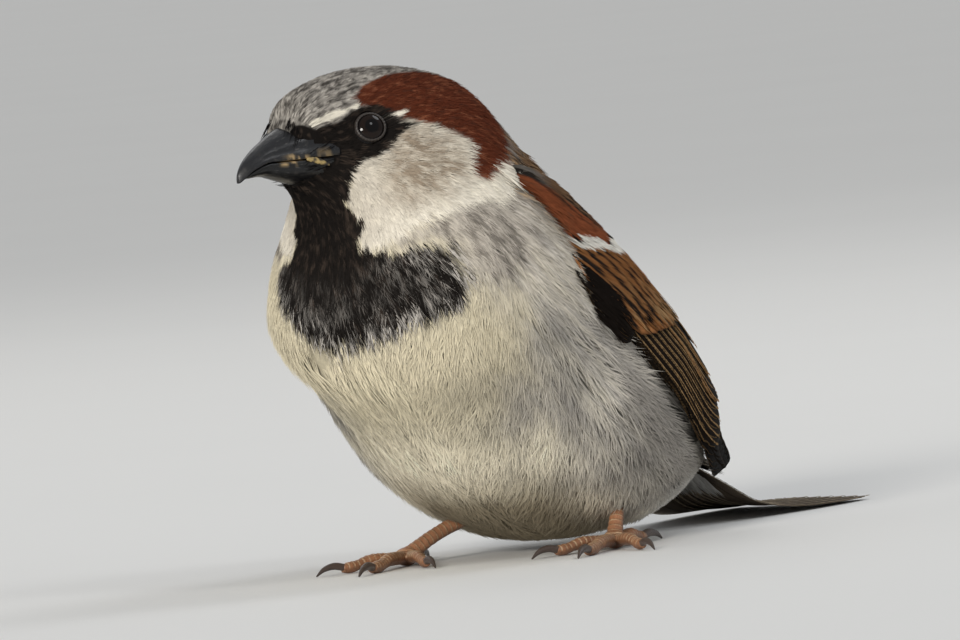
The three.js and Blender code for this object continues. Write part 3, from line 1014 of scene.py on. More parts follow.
@dataclass(frozen=True)
class WingEdges:
    """The folded wing's edges in degrees from the top by station, and how much of it the coat laps."""

    lower: Points = (
        (5.5, 80), (6, 88), (7, 96), (8, 96), (9, 99), (10, 104), (11, 110), (11.85, 118),
    )
    upper: Points = (
        (5.5, 70), (6, 60), (7, 45), (8, 33), (9, 33), (10, 45), (11, 72), (11.85, 105),
    )
    lapped: Points = (
        (5.5, 1.3), (5.85, 0.55), (6.55, 0.46), (6.9, 0.4), (7.15, 0.31), (7.4, 0.2), (7.7, 0.08),
        (8.0, -0.02),
    )

    def read(self, name: str, t: Array) -> Array:
        """One of the rows at stations, in straight lines between its points."""
        return np.interp(t, *np.array(getattr(self, name)).T)

    def share(self, t: Array, degrees: Array) -> Array:
        """The share q of the way from the lower edge to the upper one, at an angle in degrees."""
        low = self.read("lower", t)
        return (low - degrees) / (low - self.read("upper", t))

    def seen(self, t: Array, q: Array) -> Array:
        """How far a share q is above the coat of neck and flank, which laps over the wing's front."""
        return q - self.read("lapped", t)

    def angle(self, t: Array, q: Array) -> Array:
        """The angle at a share q of the way from the lower edge to the upper one, in radians."""
        low = self.read("lower", t)
        return np.radians(low + (self.read("upper", t) - low) * q)


EDGES = WingEdges()


def lie(t: Array, degrees: Array) -> Array:
    """Turn of the barbs from straight back towards the belly, in radians.

    On the cheek they fan out from the gape; on the flanks they lean towards the belly's middle.

    Args:
        t: Stations.
        degrees: Degrees from the top.

    Returns:
        The turns.
    """
    gape_t, gape_degrees = 1.62, 106.5
    fan = np.arctan2((degrees - gape_degrees) * 0.2, np.maximum((t - gape_t) * 8.5, 0.5))
    cheek = window(t, 2.3, 4.7, 0.9) * window(degrees, 68, 140, 12)
    below = degrees - EDGES.read("lower", t)
    lean = window(t, 6.2, 9.6, 1.0) * (0.62 * ramp(below, 3, 20) * (1 - ramp(degrees, 150, 176)) - 0.12)
    crown = -0.10 * window(t, 1.0, 4.0, 1.0) * window(degrees, 25, 60, 15)
    return cheek * 0.85 * fan + lean + crown


def blades(centre: Array, out: Array, half: Array, tone: Array, place: Array) -> Shell:
    """Barbs as closed three-sided blades with two rings and a point.

    Args:
        centre: (n, 3, 3) root, middle and tip of each.
        out: (n, 3) direction away from the body.
        half: (n, 2) half-widths at the root and the middle, or one pair for all.
        tone: (n, 3) colours; a barb is darker at its root and lighter at its tip.
        place: (n, 2) centres of the patches on the bake map.

    Returns:
        The joined blades with their paint and bake map.
    """
    forward = unit(centre[:, 1:] - centre[:, :-1])
    across = unit(np.cross(forward, out[:, None]))
    wide = np.broadcast_to(half, (len(out), 2))[..., None, None]
    corner = np.array([[-1.0, -0.25], [0.0, 0.55], [1.0, -0.25]])
    aside, above = corner[:, :1], corner[:, 1:]
    rings = centre[:, :2, None] + across[:, :, None] * (wide * aside) + out[:, None, None] * (wide * above)
    shell = bundle(rings, centre[:, 2])
    shell.tinted(np.stack([tone * 0.8] * 3 + [tone] * 3 + [tone * 1.1], 1).reshape(-1, 3))
    patch = np.array([[-1, 0], [0, 0.35], [1, 0], [-0.9, 1.0], [0, 1.35], [0.9, 1.0], [0.1, 2.0]]) * 0.0015
    shell.maps["OFBake"] = (place[:, None] + patch).reshape(-1, 2)
    # A barb is lit mostly as the body under it is, so that light lies softly over the coat.
    sides = np.array([-0.35, 0.0, 0.35])[:, None]
    lit = [out[:, None] + across[:, k, None] * sides for k in (0, 1)] + [out[:, None] - 0.1 * forward[:, 1:]]
    shell.normals = unit(np.concatenate(lit, 1).reshape(-1, 3))
    return shell


@dataclass(frozen=True)
class Region:
    """A piece of the coat: a stretch of stations and of degrees from the top, or a pair of them."""

    name: str
    slot: str
    stations: tuple[float, float]
    degrees: tuple[float, float]
    paired: bool = False


class Coat:
    """Tufts of curved, pointed barbs all over the body, rooted in the skin."""

    regions: tuple[Region, ...] = (
        Region("coat_crown", "crown", (-1, 2.6), (0, 50)),
        Region("coat_hind_crown", "crown", (2.6, 5.4), (0, 50)),
        Region("coat_face", "crown", (-1, 3.3), (50, 125), True),
        Region("coat_cheek", "crown", (3.3, 5.2), (50, 125), True),
        Region("coat_throat", "neck", (-1, 4.6), (125, 181)),
        Region("coat_bib", "neck", (4.6, 6.5), (125, 181)),
        Region("coat_collar", "neck", (5.2, 6.9), (50, 125), True),
        Region("coat_breast", "underparts", (6.5, 8.3), (125, 181)),
        Region("coat_belly", "underparts", (8.3, 10.4), (125, 181)),
        Region("coat_side", "underparts", (6.9, 8.6), (50, 125), True),
        Region("coat_flank", "underparts", (8.6, 10.4), (50, 125), True),
        Region("coat_mantle", "rump", (5.4, 9.4), (0, 50)),
        Region("coat_rump", "rump", (9.4, 13), (0, 50)),
        Region("coat_vent", "rump", (10.4, 13), (50, 181)),
    )
    barbs: int = 7  # in a tuft
    grid: tuple[int, int] = (260, 360)
    scale: float = 0.815
    eye_clear: float = 2.15  # how near to an eye's middle a barb may come

    def density(self, t: Array, degrees: Array) -> Array:
        """Barbs in a square millimetre: the table's, thinned under the wings and down the back.

        Args:
            t: Stations.
            degrees: Degrees from the top.

        Returns:
            The density.
        """
        q = EDGES.share(t, degrees)
        covered = window(t, 6.0, 11.4, 0.3) * ramp(EDGES.seen(t, q), 0.1, 0.18) * (1 - ramp(q, 0.74, 0.86))
        back = (1 - ramp(degrees, 48, 62)) * ramp(t, 3.0, 6.0)
        behind = ramp(t, 9.8, 10.8)
        return TABLE.read("dense", t) * (1 - 0.8 * covered) * (1 - 0.36 * np.maximum(back, behind)) * self.scale

    def roots(self) -> tuple[Array, Array]:
        """Even places for the tufts, in proportion to area times density.

        A two-dimensional low-discrepancy sequence is carried through the running sums of the
        weight along the stations, and then round each station.

        Returns:
            Their stations and angles.
        """
        down, round_ = self.grid
        ts = (np.arange(down) + 0.5) / down * LAST
        angles = ((np.arange(round_) + 0.5) / round_ * 2 - 1) * np.pi
        tt, aa = np.meshgrid(ts, angles, indexing="ij")
        _, _, _, mt, ma = BODY.axes(tt, aa)
        cell = (LAST / down) * (2 * np.pi / round_)
        weight = mt * ma * cell * self.density(tt, np.degrees(np.abs(aa)))
        u, v = scatter(int(weight.sum() / self.barbs))
        rows = np.concatenate([[0], np.cumsum(weight.sum(1))])
        t = np.interp(u * rows[-1], rows, np.linspace(0, LAST, down + 1))
        row = np.clip((t / LAST * down).astype(int), 0, down - 1)
        sums = np.concatenate([np.zeros((down, 1)), np.cumsum(weight, 1)], 1)
        flat = (sums / sums[:, -1:])[row]
        k = np.clip((flat < v[:, None]).sum(1) - 1, 0, round_ - 1)
        each = np.arange(len(v))
        low, high = flat[each, k], flat[each, k + 1]
        return t, ((k + (v - low) / np.maximum(high - low, 1e-9)) / round_ * 2 - 1) * np.pi

    def grow(self) -> dict[str, Array]:
        """Every barb as rows of numbers: its root, direction, length, lift, shade and tuft's place."""
        tuft_t, tuft_a = self.roots()
        n, b = len(tuft_t), self.barbs
        spin = chance(11, n, b) * 2 * np.pi
        degrees = np.degrees(np.abs(tuft_a))
        _, _, _, mt, ma = BODY.axes(tuft_t, tuft_a)
        # Near the eye and on the crown the barbs are finer.
        finer = 1 - 0.25 * window(tuft_t, 0.5, 4.2, 0.8) * (1 - ramp(degrees, 35, 60))
        length = (TABLE.read("length", tuft_t) * finer)[:, None]
        waver = cloud(np.stack([tuft_t * 8, degrees * 0.3], -1), 4.0, 21) * ramp(tuft_t, 5.5, 8.0)
        way = lie(tuft_t, degrees) + 0.16 * (chance(12, n)[:, 0] - 0.5) + 0.22 * waver
        off = length * 0.16 * np.sqrt(chance(13, n, b))
        off_a = off * np.sin(spin)
        root_t = tuft_t[:, None] + off * np.cos(spin) / mt[:, None]
        root_a = tuft_a[:, None] + off_a / np.maximum(ma, 2.0)[:, None]
        sign = np.where(tuft_a >= 0, 1.0, -1.0)[:, None]
        # The barbs' tips draw together into the tuft's point.
        cells = Cells.of(root_t.ravel(), root_a.ravel())
        u, v, wide = (column.reshape(n, b) for column in (cells.u, cells.v, cells.wide))
        gather = blend(0.3, 0.95, ramp(tuft_t, 4.5, 8.0))[:, None]
        draw = -(0.35 * off_a + gather * (v * wide)) * sign / length
        rows = {
            "t": root_t, "a": root_a, "sign": sign, "tuft_t": tuft_t[:, None], "tuft_a": tuft_a[:, None],
            "heading": way[:, None] + draw + 0.22 * (chance(14, n, b) - 0.5),
            "length": length * (0.72 + 0.5 * chance(15, n, b)),
            "lift": 0.35 * chance(16, n, 1) + 0.25 * chance(17, n, b) + 0.25 * u + 0.15 * (1 - 4 * v**2),
            "shade": chance(18, n, 1), "own": chance(19, n, b),
        }
        rows = {k: np.broadcast_to(v, (n, b)).ravel() for k, v in rows.items()}
        keep = (rows["t"] > 0.0) & (rows["t"] < LAST)
        return self.cleared({k: v[keep] for k, v in rows.items()})

    def cleared(self, rows: dict[str, Array]) -> dict[str, Array]:
        """The rows without those under the eyelids or in the bill, and none reaching over an eye.

        A barb whose line meets the eye's clear ball is cut to the distance at which it would enter.

        Args:
            rows: The barbs.

        Returns:
            Those that stay.
        """
        points = BODY.at(rows["t"], rows["a"])
        back, round_, _, _, _ = BODY.axes(rows["t"], rows["a"])
        aside_by = rows["sign"] * np.sin(rows["heading"])
        ahead = unit(back * np.cos(rows["heading"])[:, None] + round_ * aside_by[:, None])
        keep = ~BILL.holds(points, 0.12)
        for sign in (1, -1):
            to = EYES.round(sign, EYES.sunk, 0, 0) - points
            near = np.linalg.norm(to, axis=1)
            keep &= near > self.eye_clear
            onward = (to * ahead).sum(1)
            aside = np.sqrt(np.maximum(near**2 - onward**2, 0))
            room = onward - np.sqrt(np.maximum(self.eye_clear**2 - aside**2, 0)) + 0.1
            meets = (onward > 0) & (aside < self.eye_clear) & (near < 9)
            cut = np.minimum(rows["length"], np.maximum(room, 0.25))
            rows["length"] = np.where(meets, cut, rows["length"])
        return {k: v[keep] for k, v in rows.items()}

    @staticmethod
    def raised(t: Array, a: Array) -> Array:
        """Millimetres by which the coat stands up beside the wing, at the vent and on the nape.

        It lies lower under the breast, on the right of the middle.

        Args:
            t: Stations.
            a: Angles.

        Returns:
            The rise.
        """
        degrees = np.degrees(np.abs(a))
        q = EDGES.share(t, degrees)
        seen = EDGES.seen(t, q)
        raised = 1.45 * ramp(seen, -0.95, -0.1) * (1 - ramp(seen, 0.0, 0.12)) * window(t, 5.9, 9.6, 0.6)
        raised = np.maximum(raised, 1.3 * window(q, 0.86, 1.15, 0.25) * window(t, 5.5, 8.6, 0.5))
        raised = raised + 1.4 * window(t, 10.3, 11.6, 0.7) * window(degrees, 96, 135, 16)
        raised = np.maximum(raised, 0.9 * window(t, 6.05, 6.25, 0.18) * (1 - ramp(degrees, 62, 86)))
        return raised - 1.1 * window(t, 7.2, 9.2, 0.8) * window(np.degrees(a % (2 * np.pi)), 176, 245, 26)

    def shell(self, rows: dict[str, Array], span: tuple[Array, Array]) -> Shell:
        """Barbs as blades that follow the body.

        A path steps back and round by the local millimetres in a station and in a radian, while
        its height rises from the skin to near the coat's surface.

        Args:
            rows: The barbs.
            span: The piece's lowest and highest (angle, station), which its bake map spreads over.

        Returns:
            The blades.
        """
        t, a, own, length = (rows[k] for k in ("t", "a", "own", "length"))
        _, _, out, mt, ma = BODY.axes(t, a)
        share = np.array([0.0, 0.5, 1.0])
        turn = rows["heading"][:, None] + (0.5 * (own - 0.5))[:, None] * share
        step = length[:, None] * share
        gone_t = step * np.cos(turn) / mt[:, None]
        gone_a = step * np.sin(turn) * rows["sign"][:, None] / np.maximum(ma, 2.0)[:, None]
        depth, raised = TABLE.read("depth", t), self.raised(t, a)
        top = depth * (-0.42 + 0.55 * rows["lift"]) + raised
        base = -depth - 0.12 + 0.35 * raised
        height = np.stack([base, blend(base, top, 0.62), top], 1)
        centre = BODY.at(t[:, None] + gone_t, a[:, None] + gone_a, height)
        # Wherever a tip would go under the floor it stays just above it.
        centre[..., 2] = np.maximum(centre[..., 2], 0.25)
        half = TABLE.read("width", t)[:, None] * np.array([0.36, 0.5]) * (0.8 + 0.4 * own)[:, None]
        tip_t, tip_a = t + 0.6 * gone_t[:, 2], a + 0.6 * gone_a[:, 2]
        cells = Cells.of(t, a)
        # Each barb and feather has its own shade; late feathers carry painted shade along their edges and at
        # their roots, where they meet and lie under their neighbours.
        late = ramp(t, 6.0, 8.0)
        gain = 0.84 + 0.16 * rows["shade"] + 0.16 * own + (0.10 + 0.12 * late) * cells.own
        edge = (0.22 * ramp(t, 5.0, 7.0) + 0.14 * late) * ramp(np.abs(cells.v), 0.28, 0.5)
        gain = gain * (1 - edge - 0.12 * late * (1 - ramp(cells.u, 0.0, 0.4)))
        tone = MARKS.colour(tip_t, tip_a, BODY.at(tip_t, tip_a), cells) * gain[:, None]
        low, high = span
        place = (np.stack([rows["tuft_a"], rows["tuft_t"]], 1) - low) / (high - low) * 0.96 + 0.02
        return blades(centre, out, half, tone, place)

    def build(self, finish: Material) -> None:
        """Grows the coat and adds each barb to the first region that holds its tuft."""
        rows = self.grow()
        degrees = np.degrees(np.abs(rows["tuft_a"]))
        left = rows["tuft_a"] >= 0
        free = np.ones(len(degrees), bool)
        for r in self.regions:
            inside = free & (rows["tuft_t"] >= r.stations[0]) & (rows["tuft_t"] < r.stations[1])
            inside &= (degrees >= r.degrees[0]) & (degrees < r.degrees[1])
            free &= ~inside
            sides = {"_left": inside & left, "_right": inside & ~left} if r.paired else {"": inside}
            for side, chosen in sides.items():
                picked = {k: v[chosen] for k, v in rows.items()}
                if r.degrees[1] > 180:  # round the belly the angles are counted on from the left
                    picked["tuft_a"] = picked["tuft_a"] % (2 * np.pi)
                place = np.stack([picked["tuft_a"], picked["tuft_t"]], 1)
                shell = self.shell(picked, (place.min(0), place.max(0)))
                Piece.make(r.name + side, shell, finish, r.slot)
        log.info("coat: %d barbs left over", int(free.sum()))


class Skin:
    """The body under the coat, closed at both ends, which carries the coat's markings."""

    rings: int = 300
    around: int = 200

    def build(self, finish: Material) -> None:
        """A fine loft of the body's form, sunk by the coat's depth."""
        t = np.linspace(0.02, LAST - 0.05, self.rings)[:, None]
        angle = (circle(self.around)[None] + np.pi) % (2 * np.pi) - np.pi
        shell = tube(BODY.at(t, angle, -TABLE.read("depth", t)))
        tt, aa = with_ends(t + 0 * angle, LAST, 0.0), with_ends(0 * t + angle, 0.0, 0.0)
        shell.tinted(MARKS.colour(tt, aa, shell.points, Cells.of(tt, aa)) * 0.8)
        Piece.make("skin", shell, finish, "underparts", ("head", "neck", "trunk", "rump"))


# ---- vanes


@dataclass
class Vanes:
    """Rows of flat feathers, as columns of numbers that all have one entry for each feather."""

    root: Array  # (n, 2) place on the carrying surface
    tip: Array  # (n, 2)
    lift: Array  # (n, 2) height above the surface at the root and at the tip
    core: Array  # (n, 3) the dark middle's colour
    rim: Array  # (n, 3) the edges' colour
    width: Array  # whole width in millimetres
    reach: Array  # share of the half-width that the core takes
    cover: Array  # share of the length past which the rim's colour takes over
    bow: Array  # sideways bow in millimetres
    blunt: Array  # 0 for a pointed tip and 1 for a round one

    @staticmethod
    def of(count: int, **columns: Any) -> Vanes:
        """Columns filled out to a number of feathers.

        Args:
            count: How many feathers there are.
            **columns: Each column's value, or values; a tuple stands for a column of several numbers.

        Returns:
            The feathers.
        """
        made = {"bow": 0.0, "cover": 2.0, **columns}
        for key, value in made.items():
            if isinstance(value, tuple):
                value = np.stack([np.broadcast_to(part, count) for part in value], 1)
            shape = (count, np.shape(value)[-1]) if key in ("root", "tip", "lift", "core", "rim") else (count,)
            made[key] = np.broadcast_to(value, shape)
        return Vanes(**made)

    @staticmethod
    def outline(s: Array, blunt: Array) -> tuple[Array, Array]:
        """A feather's half-width as a share of its widest, at shares of its length.

        It grows as (s/0.3)^0.7 up to 1, and past its widest place it is rounded off by a power of
        what is left.

        Args:
            s: Shares of the length.
            blunt: How round the tip is.

        Returns:
            The shares of the half-width, and how far s is past the widest place, from 0 to 1.
        """
        round_at = 0.62 + 0.16 * blunt
        late = np.clip((s - round_at) / (1 - round_at), 0, 1)
        left = np.maximum(1 - late ** (1.4 + 1.2 * blunt), 0.02) ** 0.6
        return np.minimum(1.0, s / 0.3) ** 0.7 * left, late

    def shell(
        self, on: Wing | TailForm, stages: int, seed: int, thick: float, camber: float, roll: float
    ) -> Shell:
        """Feathers laid on a surface.

        Each ring goes across the top and back along the underside, arched by camber times the
        square of the distance from the shaft.

        Args:
            on: What carries them: it has a surface of two parameters and a height, and its metric.
            stages: Rings in each feather.
            seed: Chooses the small unevenness.
            thick: The vane's thickness at its shaft.
            camber: How far the edges drop below the shaft, in millimetres.
            roll: How far one edge is tipped up and the other down, so that neighbours overlap.

        Returns:
            The feathers with paint Core and Rim, the map Vane and a bake map of one cell for each.
        """
        n = len(self.width)
        s = np.linspace(0, 1, stages + 2)[1:-1] ** 0.9
        v = np.array([-1.0, -0.5, 0.0, 0.5, 1.0, 0.5, 0.0, -0.5])
        face = np.array([0.0, 0.7, 1.0, 0.7, 0.0, -0.7, -1.0, -0.7])
        way = (self.tip - self.root)[:, None]
        middle = self.root[:, None] + way * s[None, :, None]
        mu, mw = on.metric(middle[..., 0], middle[..., 1])
        run = unit(way * np.stack([mu, mw], -1))
        shape, _ = self.outline(s, self.blunt[:, None])
        uneven = 1 + 0.10 * (chance(seed + 1, n, len(s)) - 0.5) * ramp(s, 0.4, 0.9)
        half = self.width[:, None] / 2 * shape * uneven
        off = v * half[..., None] + (self.bow[:, None] * 4 * s * (1 - s))[..., None]
        place_u = middle[..., 0, None] - run[..., 1, None] * off / mu[..., None]
        place_w = middle[..., 1, None] + run[..., 0, None] * off / mw[..., None]
        rise = self.lift[:, :1] + (self.lift[:, 1:] - self.lift[:, :1]) * s
        arch = (camber * v**2 + roll * v) * shape[..., None]
        thickness = thick / 2 * face * (1 - 0.5 * s[:, None])
        rings = on.surface(place_u, place_w, rise[..., None] - arch + thickness)
        root, tip = (on.surface(*end.T, self.lift[:, k]) for k, end in enumerate((self.root, self.tip)))
        shell = bundle(rings, tip, root)
        for key, colour, alpha in (("Core", self.core, self.reach), ("Rim", self.rim, self.cover)):
            own = np.column_stack([colour * (0.84 + 0.32 * chance(seed + 2, n)), alpha])
            shell.paint[key] = np.repeat(own, len(shell.points) // n, axis=0)
        each = (len(s), len(v))
        across = with_ends(np.broadcast_to((v + 1) / 2, each), 0.5, 0.5)
        flat = np.stack([across, with_ends(np.broadcast_to(s[:, None], each), 1.0, 0.0)], 1)
        shell.maps["Vane"] = np.tile(flat, (n, 1))
        side = math.ceil(math.sqrt(n))
        cell = np.stack([np.arange(n) % side, np.arange(n) // side], 1) / side
        nudge = with_ends(np.broadcast_to(face * 0.02, each), 0.0, 0.0)[:, None] * np.array([0.0, 1.0])
        shell.maps["OFBake"] = (cell[:, None] + ((0.06 + 0.88 * flat + nudge) / side)[None]).reshape(-1, 2)
        return shell

    def fringe(self, on: Wing | TailForm, seed: int, spacing: float, roll: float) -> Shell:
        """Loose barbs along both edges of feathers, which point out and on towards the tip.

        Args:
            on: What carries the feathers.
            seed: Chooses the unevenness.
            spacing: Millimetres between barbs.
            roll: The feathers' tilt.

        Returns:
            The barbs.
        """
        way = self.tip - self.root
        mu, mw = on.metric(*(self.root + way / 2).T)
        long = np.hypot(way[:, 0] * mu, way[:, 1] * mw)
        each = np.maximum((long * 0.8 / spacing).astype(int), 4)
        k = np.repeat(np.arange(len(long)), each)
        start = np.repeat(np.cumsum(each) - each, each)
        place = np.tile((np.arange(len(k)) - start + 0.5) / np.repeat(each, each), 2)
        side = np.repeat([-1.0, 1.0], len(k))
        k = np.tile(k, 2)
        r = chance(seed, len(k), 4)
        s = 0.22 + 0.77 * place + 0.01 * (r[:, 0] - 0.5)
        shape, late = self.outline(s, self.blunt[k])
        half = self.width[k] / 2 * shape
        run = unit(way * np.stack([mu, mw], 1))[k]
        length = (0.55 + 0.4 * r[:, 1])[:, None] * np.array([0.0, 0.55, 1.0])
        out_by = side[:, None] * (half[:, None] * 0.9 + length * (0.32 - 0.18 * late[:, None]))
        out_by = out_by + (self.bow[k] * 4 * s * (1 - s))[:, None]
        at = self.root[k] + way[k] * s[:, None]
        u = at[:, :1] + (run[:, :1] * length * 0.9 - run[:, 1:] * out_by) / mu[k, None]
        w = at[:, 1:] + (run[:, 1:] * length * 0.9 + run[:, :1] * out_by) / mw[k, None]
        rise = self.lift[k, 0] + (self.lift[k, 1] - self.lift[k, 0]) * s
        height = rise[:, None] - (roll * side * shape)[:, None] * np.array([0.8, 1.0, 1.1]) + 0.04 * r[:, 2:3]
        centre = on.surface(u, w, height)
        out = unit(on.surface(u[:, 0], w[:, 0], height[:, 0] + 0.5) - centre[:, 0])
        mostly = np.where(self.reach[k] < 0.95, 0.85, 0.05)
        tone = over(self.core[k], self.rim[k], mostly) * (0.8 + 0.4 * r[:, 3:4])
        where = np.stack([(k + 0.5) / len(long), 0.03 + 0.94 * s], 1)
        return blades(centre, out, np.array([0.075, 0.085]), tone, where)


class Wing:
    """One folded wing, feather by feather, laid on the body from the shoulder to the tip."""

    black: Array = linear(28, 22, 18)
    brown: Array = linear(84, 66, 50)
    rufous: Array = linear(134, 74, 46)
    orange: Array = linear(156, 104, 62)
    buff: Array = linear(204, 166, 118)
    white: Array = linear(236, 230, 218)
    covert_wide: float = 0.072  # a greater covert's width, as a share of the wing's

    def __init__(self, sign: int) -> None:
        """The left wing for 1 and the right for -1."""
        self.sign = sign
        self.side = "left" if sign > 0 else "right"

    def surface(self, t: Array, q: Array, height: Array) -> Array:
        """The place over the wing's inner face."""
        return BODY.at(t, self.sign * EDGES.angle(t, q), 0.35 + height, True)

    def metric(self, t: Array, q: Array) -> tuple[Array, Array]:
        """Millimetres in a station and in the whole width at a place, by a small step of each."""
        step, flat = 0.02, np.zeros_like(t)
        base = self.surface(t, q, flat)
        ends = self.surface(t + step, q, flat), self.surface(t, q + step, flat)
        mt, mq = (np.linalg.norm(end - base, axis=-1) / step for end in ends)
        return mt, np.maximum(mq, 4.0)

    @staticmethod
    def bar(q: Array) -> Array:
        """The station where the white bar ends: further back high on the wing."""
        return np.interp(q, (0.0, 0.28, 0.42, 0.55, 0.65, 0.8, 1.0), (6.75, 6.95, 7.2, 7.5, 7.85, 8.0, 8.1))

    @staticmethod
    def end(q: Array) -> Array:
        """The station where the greater coverts end."""
        return np.interp(q, (0.0, 0.2, 0.3, 0.45, 0.6, 0.8, 1.0), (8.2, 8.3, 8.5, 8.66, 8.85, 9.0, 8.9))

    def covert_tone(self, t: Array, q: Array, r: Array) -> Array:
        """The coverts' colour: chestnut, a white bar, then orange-brown feathers with dark shafts.

        The primary coverts low on the wing are black with a thin pale lower edge, and a second
        dark patch lies at the ends of the greater coverts. Near the back all is dark and streaked.

        Args:
            t: Stations.
            q: Shares of the width.
            r: A random number for each place.

        Returns:
            The colours.
        """
        small = cloud(np.stack([t * 9, q * 26], 1), 1.6, 12)
        streak = cloud(np.stack([t * 1.5, q * 20], 1), 1.0, 14)
        rough = 0.05 * small + 0.05 * (r - 0.5)
        tone = over(self.rufous, self.brown, ramp(small, 0.2, 1.0) * 0.5)
        plain = over(Hue.COLLAR_DARK.rgb, Hue.BACK.rgb, ramp(t + 0.2 * small, 5.9, 6.5))
        back_row = ramp(q + 0.06 * streak, 0.74, 0.80) * (1 - ramp(t, 7.2, 7.8))
        tone = over(tone, over(plain, self.black, 0.9 * ramp(streak, -0.2, 0.3)), back_row)
        past = t - (self.bar(q) - 0.26 - 0.12 * window(q, 0.5, 0.62, 0.06)) + rough
        tone = over(tone, self.white, ramp(past, -0.01, 0.01))
        tone = np.where(((np.abs(past) < 0.045) & (streak > 0.15))[:, None], self.black, tone)
        run = (t - self.bar(q)) / (self.end(q) - self.bar(q))
        line = np.abs(((q + 0.05 * run + 0.006 * small) / self.covert_wide) % 1.0 - 0.5)
        warm = over(self.orange * 0.8, self.buff * 0.7, 0.8 * ramp(run + 0.3 * small, 0.5, 1.1))
        greater = over(self.black * 1.8, warm, ramp(line + 0.2 * small, 0.12, 0.26))
        low = q < 0.275 - 0.10 * ramp(t, 7.9, 8.35) + 0.015 * small
        pale_edge = q < 0.022 + 0.012 * small
        second = ((t - 8.55) / 0.24) ** 2 + ((q - 0.29) / 0.09) ** 2 + 0.3 * small < 1
        dark = np.where(pale_edge[:, None], self.white * 0.4, self.black * 0.8)
        greater = np.where((low | second)[:, None], dark, greater)
        return over(tone, greater, ramp(t - self.bar(q) + rough, -0.01, 0.01))

    def coverts(self) -> Shell:
        """Soft barbs of the shoulder and the coverts, over the larger feathers.

        Roots are even over the stations and the width. A barb rises from the wing's face, and
        takes the colour of the place under its outer half.

        Returns:
            The barbs.
        """
        u, q = scatter(9600)
        tip = 0.3 * (2 * (((q + 0.05) / self.covert_wide) % 1.0) - 1) ** 2
        t = blend(5.6, self.end(q) - 0.14 - tip, u)
        kept = EDGES.seen(t, q) > 0.02 * np.sin(np.arange(1, len(q) + 1) * 7.0)
        t, q = t[kept], q[kept]
        r = chance(35 + self.sign, len(t), 5)
        mt, mq = self.metric(t, q)
        behind = ramp(t, self.bar(q) - 0.1, self.bar(q) + 0.1)
        length = (2.4 + 1.0 * r[:, 0]) * blend(0.8, 1.1, ramp(t, 5.9, 6.8))
        turn = (0.25 - 0.15 * behind) * (r[:, 1] - 0.5) - 0.05 - 0.06 * behind
        step = length[:, None] * np.array([0.0, 0.5, 1.0])
        at_t = t[:, None] + step * (np.cos(turn) / mt)[:, None]
        at_q = q[:, None] + step * (np.sin(turn) / mq)[:, None]
        top = 0.95 + 0.3 * ((t * 3.1 + 0.3 * np.sin(q * 40)) % 1.0) + 0.25 * (r[:, 2] - 0.5) + 0.2 * behind
        top = top * (1 - 0.5 * ramp(q, 0.66, 0.86) * (1 - ramp(t, 5.9, 6.4)))
        centre = self.surface(at_t, at_q, np.stack([0.2 + 0.3 * behind, blend(0.2, top, 0.75), top], 1))
        out = unit(self.surface(t, q, 1.0 + 0 * t) - self.surface(t, q, 0 * t))
        tone = self.covert_tone(blend(t, at_t[:, 2], 0.6), blend(q, at_q[:, 2], 0.6), r[:, 3])
        place = np.stack([q, (t - 5.5) / 3.7], 1) * 0.94 + 0.03
        half = np.stack([blend(0.10, 0.08, behind), blend(0.13, 0.10, behind)], 1)
        return blades(centre, out, half, tone * (0.8 + 0.4 * r[:, 4:5]), place)

    def greater(self) -> Vanes:
        """A row of long dark feathers with broad orange-brown edges."""
        n = 12
        q = np.linspace(0.28, 0.99, n)
        return Vanes.of(
            n, root=(self.bar(q) + 0.1, q + 0.03), tip=(self.end(q), q - 0.02), width=5.0,
            lift=(0.3, 1.0 + 0.012 * np.arange(n)), core=self.black,
            rim=self.orange * (0.9 + 0.3 * chance(41, n)), reach=0.30, cover=0.90, blunt=0.9,
        )

    def black_patch(self) -> Vanes:
        """Six of the primary coverts and the alula: black, low on the wing."""
        n = 6
        k = np.arange(n)
        q = 0.105 + 0.02 * k
        return Vanes.of(
            n, root=((7.65, 7.55, 7.45, 7.4, 7.35, 7.2), q), tip=((8.3, 8.3, 8.3, 8.3, 8.28, 7.95), q),
            width=3.4, lift=(0.3, 0.8 + 0.03 * k), core=self.black, rim=self.buff * 0.25, reach=0.93,
            blunt=0.7,
        )

    def primaries(self) -> Vanes:
        """Nine long near-black feathers, from the innermost out; the outermost lies lowest and deepest."""
        n = 9
        k = np.arange(n)
        return Vanes.of(
            n, root=(7.4, 0.34 - 0.024 * k),
            tip=((10.2, 10.42, 10.66, 10.9, 11.15, 11.42, 11.68, 11.8, 11.74),
                 (0.32, 0.33, 0.35, 0.38, 0.42, 0.47, 0.52, 0.55, 0.5)),
            width=np.array([8.0, 8.0, 7.8, 7.6, 7.2, 6.8, 6.4, 6.0, 5.4]),
            lift=(0.10 - 0.02 * k, 0.88 - 0.075 * k), core=self.black * 0.35, rim=self.buff * 0.2,
            reach=0.95, blunt=0.55, bow=-0.3,
        )

    def secondaries(self) -> Vanes:
        """Eight feathers stacked over the primaries, whose pale edges make close lines."""
        n = 8
        k = np.arange(n)
        return Vanes.of(
            n, root=(7.3, 0.34 + 0.047 * k), tip=(10.3 - 0.08 * k, 0.36 + 0.05 * k), width=8.0,
            lift=(0.12 + 0.015 * k, 0.93 + 0.042 * k), core=self.black, rim=self.buff * 0.54, reach=0.94,
            blunt=0.7, bow=-0.4,
        )

